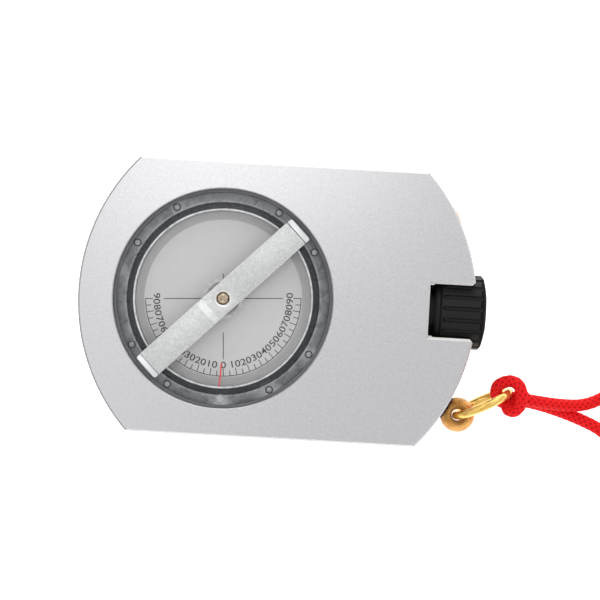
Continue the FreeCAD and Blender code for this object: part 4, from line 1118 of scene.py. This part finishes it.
@dataclass
class Capsule:
    """The liquid capsule: acrylic hat with bosses, cup, seal, index line and filling port."""

    centre: Point = CAPSULE_AXIS
    screw_hole: float = 1.13
    window: Span = (11.8, 13.0)
    wall: Span = (17.3, 18.2)
    wall_round: Profile = ((0.0, 0.18), (0.07, 0.05), (0.22, 0.0))
    flange_radius: float = 20.43
    flange: Span = (11.0, 12.0)
    flange_round: float = 0.12
    fillet: float = 0.1
    middle_radius: float = 3.2
    middle_foot: float = 3.85
    middle_top: float = 13.65
    boss_circle: float = 19.58
    boss_radius: float = 0.75
    boss_profile: Profile = ((0.0, -0.2), (0.0, 0.06), (0.06, 0.1), (0.18, 0.06), (0.22, 0.18),
                             (0.38, 0.3), (0.58, 0.35))
    boss_angles: tuple[float, ...] = (30, 60, 120, 150, 210, 240, 300, 330)
    dome_radius: float = 0.53
    raised_least: float = 0.02
    mark_circle: float = 19.45
    mark_radius: float = 0.42
    mark_profile: Profile = ((0.0, -0.1), (0.0, 0.03), (0.08, 0.05), (0.16, 0.01), (0.3, 0.01))
    mark_offset: float = 16.0
    sides: tuple[int, int, int] = (144, 24, 20)

    def build_hat(self) -> bpy.types.Object:
        """Turn the hat, with a small round on each outer corner.

        Returns:
            The hat without its bosses.
        """
        low, top = self.window
        foot, rim = self.flange
        inner, outer = self.wall
        return turned([
            (self.screw_hole, low), (inner, low), (inner, foot),
            (self.flange_radius, foot), (self.flange_radius, rim - self.flange_round),
            (self.flange_radius - self.flange_round, rim),
            (outer + self.flange_round, rim), (outer, rim + self.fillet),
            *((outer - back, top - down) for back, down in self.wall_round),
            (self.middle_foot, top), (self.middle_radius, self.middle_top),
            (self.screw_hole, self.middle_top),
        ], metres(self.centre), self.sides[0])

    def build_raised(
        self, circle: float, radius: float, profile: Profile, sides: int
    ) -> bpy.types.Object:
        """Turn one raised detail of the flange, at angle nil.

        Args:
            circle: how far its axis is from the capsule's.
            radius: its own radius.
            profile: each corner, inwards from that radius and up from the flange.
            sides: faces round its axis.

        Returns:
            The detail.
        """
        middle = metres(self.centre) + Vector((circle * MM, 0, 0))
        corners = [(radius - inward, self.flange[1] + up) for inward, up in profile]
        return turned(corners, middle, sides, ring=False)

    def shine_bosses(self, cover: bpy.types.Object) -> None:
        """Give the bosses' domes a slot for their painted highlight and their feet one for their
        painted shade.

        Args:
            cover: the finished hat.
        """
        centres = [
            metres(self.centre).xy
            + Vector((math.cos(turn), math.sin(turn))) * self.boss_circle * MM
            for turn in map(math.radians, self.boss_angles)
        ]

        def away(face: Any) -> float:
            """How far a raised face is from the nearest boss's axis, in millimetres."""
            place = face.calc_center_median()
            if place.z < (self.flange[1] + self.raised_least) * MM:
                return math.inf
            return min((place.xy - centre).length for centre in centres) / MM

        give_slots(cover, lambda face: away(face) < self.dome_radius,
                   lambda face: self.dome_radius <= away(face) < self.boss_radius)

    def build(self) -> None:
        """Make the hat with its bosses and dress the rest of the capsule."""
        middle = metres(self.centre)
        hat = self.build_hat()
        _, boss_sides, mark_sides = self.sides
        boss = self.build_raised(self.boss_circle, self.boss_radius, self.boss_profile, boss_sides)
        bosses = spun_copies(boss, middle, self.boss_angles)
        mark = self.build_raised(self.mark_circle, self.mark_radius, self.mark_profile, mark_sides)
        quarters = [90 * k + side * self.mark_offset for k in range(4) for side in (-1, 1)]
        marks = spun_copies(mark, middle, quarters)
        cover = settle(joined([*bosses, *marks, hat]), "capsule_hat")
        self.shine_bosses(cover)
        install(cover, Body.HOUSING, [COVER_ACRYLIC, BOSS_DOME_HIGHLIGHT, BOSS_FOOT_SHADE],
                ["capsule_cover"])
        dress(CUP_ACRYLIC, "capsule_base")
        dress(NITRILE, "capsule_seal")
        dress(INDEX_LACQUER, "index_line")
        dress(CEMENT, "fill_plug")


@dataclass
class Dial:
    """The card with its printed scale, and what carries it inside the capsule."""

    centre: Point = CAPSULE_AXIS
    level: float = 10.6
    ink: float = 0.02
    line: float = 0.155
    arc_radius: float = 14.9
    arc_steps: int = 90
    tick_step: int = 5
    label_step: int = 10
    long_tick: float = 1.4
    short_tick: float = 1.0
    label_radius: float = 12.82
    label_size: float = 1.8
    label_weight: float = 0.018
    label_stretch: float = 1.22
    label_fineness: int = 6
    cross_reach: float = 11.4
    upper_hair: float = 4.8
    lower_hair: Span = (6.5, 11.7)

    def bar(self, start: Span, end: Span) -> bpy.types.Object:
        """Print one straight line of the dial.

        Args:
            start: its first end from the pivot, plumb with the card.
            end: its other end.

        Returns:
            The line as a thin solid.
        """
        first, last = Vector(start), Vector(end)
        run = last - first
        middle = metres(self.centre) + metres((*((first + last) / 2), self.level))
        take()
        bpy.ops.mesh.primitive_plane_add(size=MM, location=middle)
        thing = bpy.context.object
        with editing():
            bpy.ops.transform.resize(value=(run.length, self.line, 1), center_override=middle)
            bpy.ops.mesh.extrude_region_move(
                TRANSFORM_OT_translate={"value": (0, 0, self.ink * MM)}
            )
        thing.rotation_euler.z = math.atan2(run.y, run.x)
        return thing

    def figure(self, number: int, angle: float) -> bpy.types.Object:
        """Print one number of the scale, its head towards the pivot.

        Args:
            number: what it says.
            angle: its place in degrees round the card, from the zero at the bottom.

        Returns:
            The number as a thin solid.
        """
        take()
        bpy.ops.object.text_add()
        text = bpy.context.object
        text.data.body = str(number)
        text.data.size = self.label_size * MM
        text.data.align_x, text.data.align_y = "CENTER", "CENTER"
        text.data.offset = self.label_weight * MM
        text.data.extrude = self.ink * MM / 2
        text.data.resolution_u = self.label_fineness
        bpy.ops.object.convert(target="MESH")
        figure = bpy.context.object
        turn = math.radians(angle)
        out = Vector((math.sin(turn), -math.cos(turn), 0)) * self.label_radius
        out.z = self.level + self.ink / 2
        figure.location = metres(self.centre) + metres(out)
        figure.rotation_euler.z = turn
        figure.scale.x = self.label_stretch
        return figure

    def arc(self) -> bpy.types.Object:
        """Spin the line that the ticks stand on through the lower half of the card."""
        start = metres(self.centre) + metres((self.arc_radius, 0, self.level + self.ink / 2))
        take()
        bpy.ops.mesh.primitive_plane_add(size=MM, location=start, rotation=(math.pi / 2, 0, 0))
        thing = bpy.context.object
        with editing():
            bpy.ops.transform.resize(value=(self.line, 1, self.ink), center_override=start)
            bpy.ops.mesh.spin(
                steps=self.arc_steps, angle=math.pi, center=metres(self.centre), axis=(0, 0, 1)
            )
        return thing

    def build_print(self) -> bpy.types.Object:
        """Print the whole dial: arc, ticks, numbers and the cross of hairlines.

        Returns:
            The print as one piece, turned plumb.
        """
        things = [self.arc()]
        for angle in range(-90, 91, self.tick_step):
            turn = math.radians(angle)
            way = Vector((math.sin(turn), -math.cos(turn)))
            labelled = angle % self.label_step == 0
            tick = self.long_tick if labelled else self.short_tick
            things.append(self.bar(way * self.arc_radius, way * (self.arc_radius - tick)))
            if labelled:
                things.append(self.figure(abs(angle), angle))
        things.append(self.bar((-self.cross_reach, 0), (self.cross_reach, 0)))
        things.append(self.bar((0, 0), (0, self.upper_hair)))
        things.append(self.bar((0, -self.lower_hair[0]), (0, -self.lower_hair[1])))
        for thing in things:
            take(thing)
            bpy.ops.object.transform_apply(location=True, rotation=True, scale=True)
        printed = joined(things)
        middle = metres(self.centre)
        printed.data.transform(
            Matrix.Translation(middle) @ Matrix.Rotation(PLUMB_ANGLE, 4, "Z")
            @ Matrix.Translation(-middle)
        )
        return settle(printed, "dial_print")

    def build(self) -> None:
        """Print the dial and dress the card's own pieces."""
        install(self.build_print(), Body.CARD, [PRINT_INK])
        dress(DIAL_ENAMEL, "dial_card")
        dress(FILM, "edge_scale")
        dress(STEEL, "card_axle")
        dress(TURNED_BRASS, "card_hub", "card_weight")


@dataclass
class BearingBridge:
    """The strip across the capsule with the pivot screw, and the jewels of the bearing."""

    edge_round: float = 0.11
    axis: Point = (*CAPSULE_AXIS[:2], 14.0)
    sink_radius: float = 1.75
    sink_flatness: float = 0.95
    bend_reach: float = 6.0
    bend_flatness: Span = (0.5, 0.98)
    bend_lean: float = 0.15
    foot_start: float = 18.9
    screw_round: float = 0.05
    screw_share: float = 0.88

    def shine_worked_faces(self, strip: bpy.types.Object) -> None:
        """Give the countersink and the feet bare metal, and the slope of one bend a painted
        highlight.

        Args:
            strip: the strip, with its rounded edges in slot 1.
        """
        middle = metres(self.axis)
        low, high = self.bend_flatness

        def worked(face: Any) -> bool:
            """Whether a face is in the countersink or on a foot."""
            away = (face.calc_center_median() - middle).length
            if away < self.sink_radius * MM:
                return face.normal.z < self.sink_flatness
            return away > self.foot_start * MM

        def bent(face: Any) -> bool:
            """Whether a face is on the slope below the countersink."""
            place = face.calc_center_median() - middle
            sloped = low < face.normal.z < high and face.normal.x > self.bend_lean
            near = self.sink_radius * MM < place.length < self.bend_reach * MM
            return sloped and near and place.x < 0

        give_slots(strip, worked, bent)

    def build_screw(self) -> bpy.types.Object:
        """Round the screw's edges and draw it in from the countersink's wall.

        Returns:
            The screw.
        """
        screw = softened("pivot_screw", "cross_screw", self.screw_round, 2)
        middle = metres(self.axis)
        narrow = Matrix.Diagonal((self.screw_share, self.screw_share, 1.0, 1.0))
        screw.data.transform(Matrix.Translation(middle) @ narrow @ Matrix.Translation(-middle))
        return screw

    def build(self) -> None:
        """Round the strip's sheared edges and dress the screw and the jewels."""
        strip = softened("bearing_bridge", "bridge_strip", self.edge_round, 2, edge_slot=1)
        self.shine_worked_faces(strip)
        install(strip, Body.HOUSING, [ETCHED_SHEET, SHEARED, BEND_HIGHLIGHT],
                ["bearing_bridge"])
        install(self.build_screw(), Body.HOUSING, [SCREW_BRONZE],
                ["pivot_screw"])
        dress(SAPPHIRE, "front_jewel", "rear_jewel")


@dataclass
class Housing:
    """The block itself, the plug and the lanyard's stud."""

    notch_edge: float = 5.1
    notch_start: float = 24.0
    notch_reach: float = 1.2
    notch_lean: float = 0.3
    notch_flatness: Span = (0.3, 0.95)
    end_radius: float = 38.05
    rim_level: float = 14.2
    rim_width: float = 0.8
    rim_lean: float = 0.3
    rim_flatness: Span = (0.2, 0.97)
    ball: Point = (35.809, -19.783, 7.5)
    hole_reach: float = 3.25
    mouth_radius: float = 2.0
    neck_start: float = 2.3

    def build_block(self) -> bpy.types.Object:
        """Copy the block and give slots to its arcs' edges, for painted shade, and to the notch's
        chamfers, for a painted highlight.

        Returns:
            The block: slot 1 is its rear arc's edge, slot 2 its front one's, slot 3 the notch.
        """
        block = settle(merged_copy("housing"), "anodised_block")

        def chamfer(face: Any) -> bool:
            """Whether a face is one of the chamfers along the notch's two sides."""
            place = face.calc_center_median() / MM
            low, high = self.notch_flatness
            beside = abs(abs(place.y) - self.notch_edge) < self.notch_reach
            sloped = low < face.normal.z < high and abs(face.normal.y) > self.notch_lean
            return beside and sloped and place.x > self.notch_start

        def rim(face: Any, way: int) -> bool:
            """Whether a face is in the broken edge of the arc on this side along X."""
            place = face.calc_center_median() / MM
            low, high = self.rim_flatness
            sloped = low < face.normal.z < high and face.normal.x * way > self.rim_lean
            outer = place.xy.length > self.end_radius - self.rim_width
            return sloped and outer and place.z > self.rim_level

        give_slots(block, lambda face: rim(face, -1), lambda face: rim(face, 1), chamfer)
        return block

    def build_stud(self) -> bpy.types.Object:
        """Copy the stud and give slots to the mouths of its hole, for painted light, and to its
        neck, for painted shade.

        Returns:
            The stud: slot 1 is the hole's mouths, slot 2 the neck.
        """
        stud = settle(merged_copy("lanyard_stud"), "ball_stud")
        middle = metres(self.ball)
        inward = -Vector((*self.ball[:2], 0.0)).normalized()

        def rubbed(face: Any) -> bool:
            """Whether a face lies in the hole, inside the ball's own surface."""
            place = face.calc_center_median() - middle
            return place.length < self.hole_reach * MM and place.xy.length < self.mouth_radius * MM

        def necked(face: Any) -> bool:
            """Whether a face is on the housing's side of the ball."""
            return (face.calc_center_median() - middle).dot(inward) > self.neck_start * MM

        give_slots(stud, rubbed, necked)
        return stud

    def build(self) -> None:
        """Dress the block, the plug and the stud."""
        install(self.build_block(), Body.HOUSING,
                [ANODISED, REAR_EDGE_SHADE, FRONT_EDGE_SHADE, CHAMFER_HIGHLIGHT], ["housing"])
        dress(TURNED_ALUMINIUM, "blanking_plug")
        install(self.build_stud(), Body.HOUSING,
                [AGED_BRASS, HOLE_MOUTH_LIGHT, NECK_SHADE], ["lanyard_stud"])


@dataclass
class Eyepiece:
    """The ribbed knob, the lens in its cell and what the sight line passes through."""

    end_lean: float = 0.3

    def build_knob(self) -> bpy.types.Object:
        """Copy the knob and give the faces at its outer end a slot of their own, for painted
        shade.

        Returns:
            The knob: slot 1 is its end.
        """
        knob = settle(merged_copy("eyepiece_knob"), "ribbed_knob")
        give_slots(knob, lambda face: face.normal.x > self.end_lean)
        return knob

    def build(self) -> None:
        """Dress the eyepiece's pieces."""
        install(self.build_knob(), Body.EYEPIECE, [ACETAL, KNOB_END_SHADE],
                ["eyepiece_knob"])
        dress(BLACKENED, "graticule_ring", "lens_cell", "lens_retainer")
        dress(GLASS, "graticule", "eye_lens")
        dress(TURNED_BRASS, "eyepiece_bush")
        dress(NITRILE, "eyepiece_o_ring")


def main() -> None:
    """Build the studio and every sub-assembly, in order."""
    logging.basicConfig(level=logging.INFO, format="%(name)s: %(message)s")
    sections = (Studio(), Lanyard(), Housing(), Capsule(), Dial(), BearingBridge(), Eyepiece())
    for section in sections:
        section.build()
        LOG.info("%s is built", type(section).__name__)


if __name__ == "__main__":
    main()
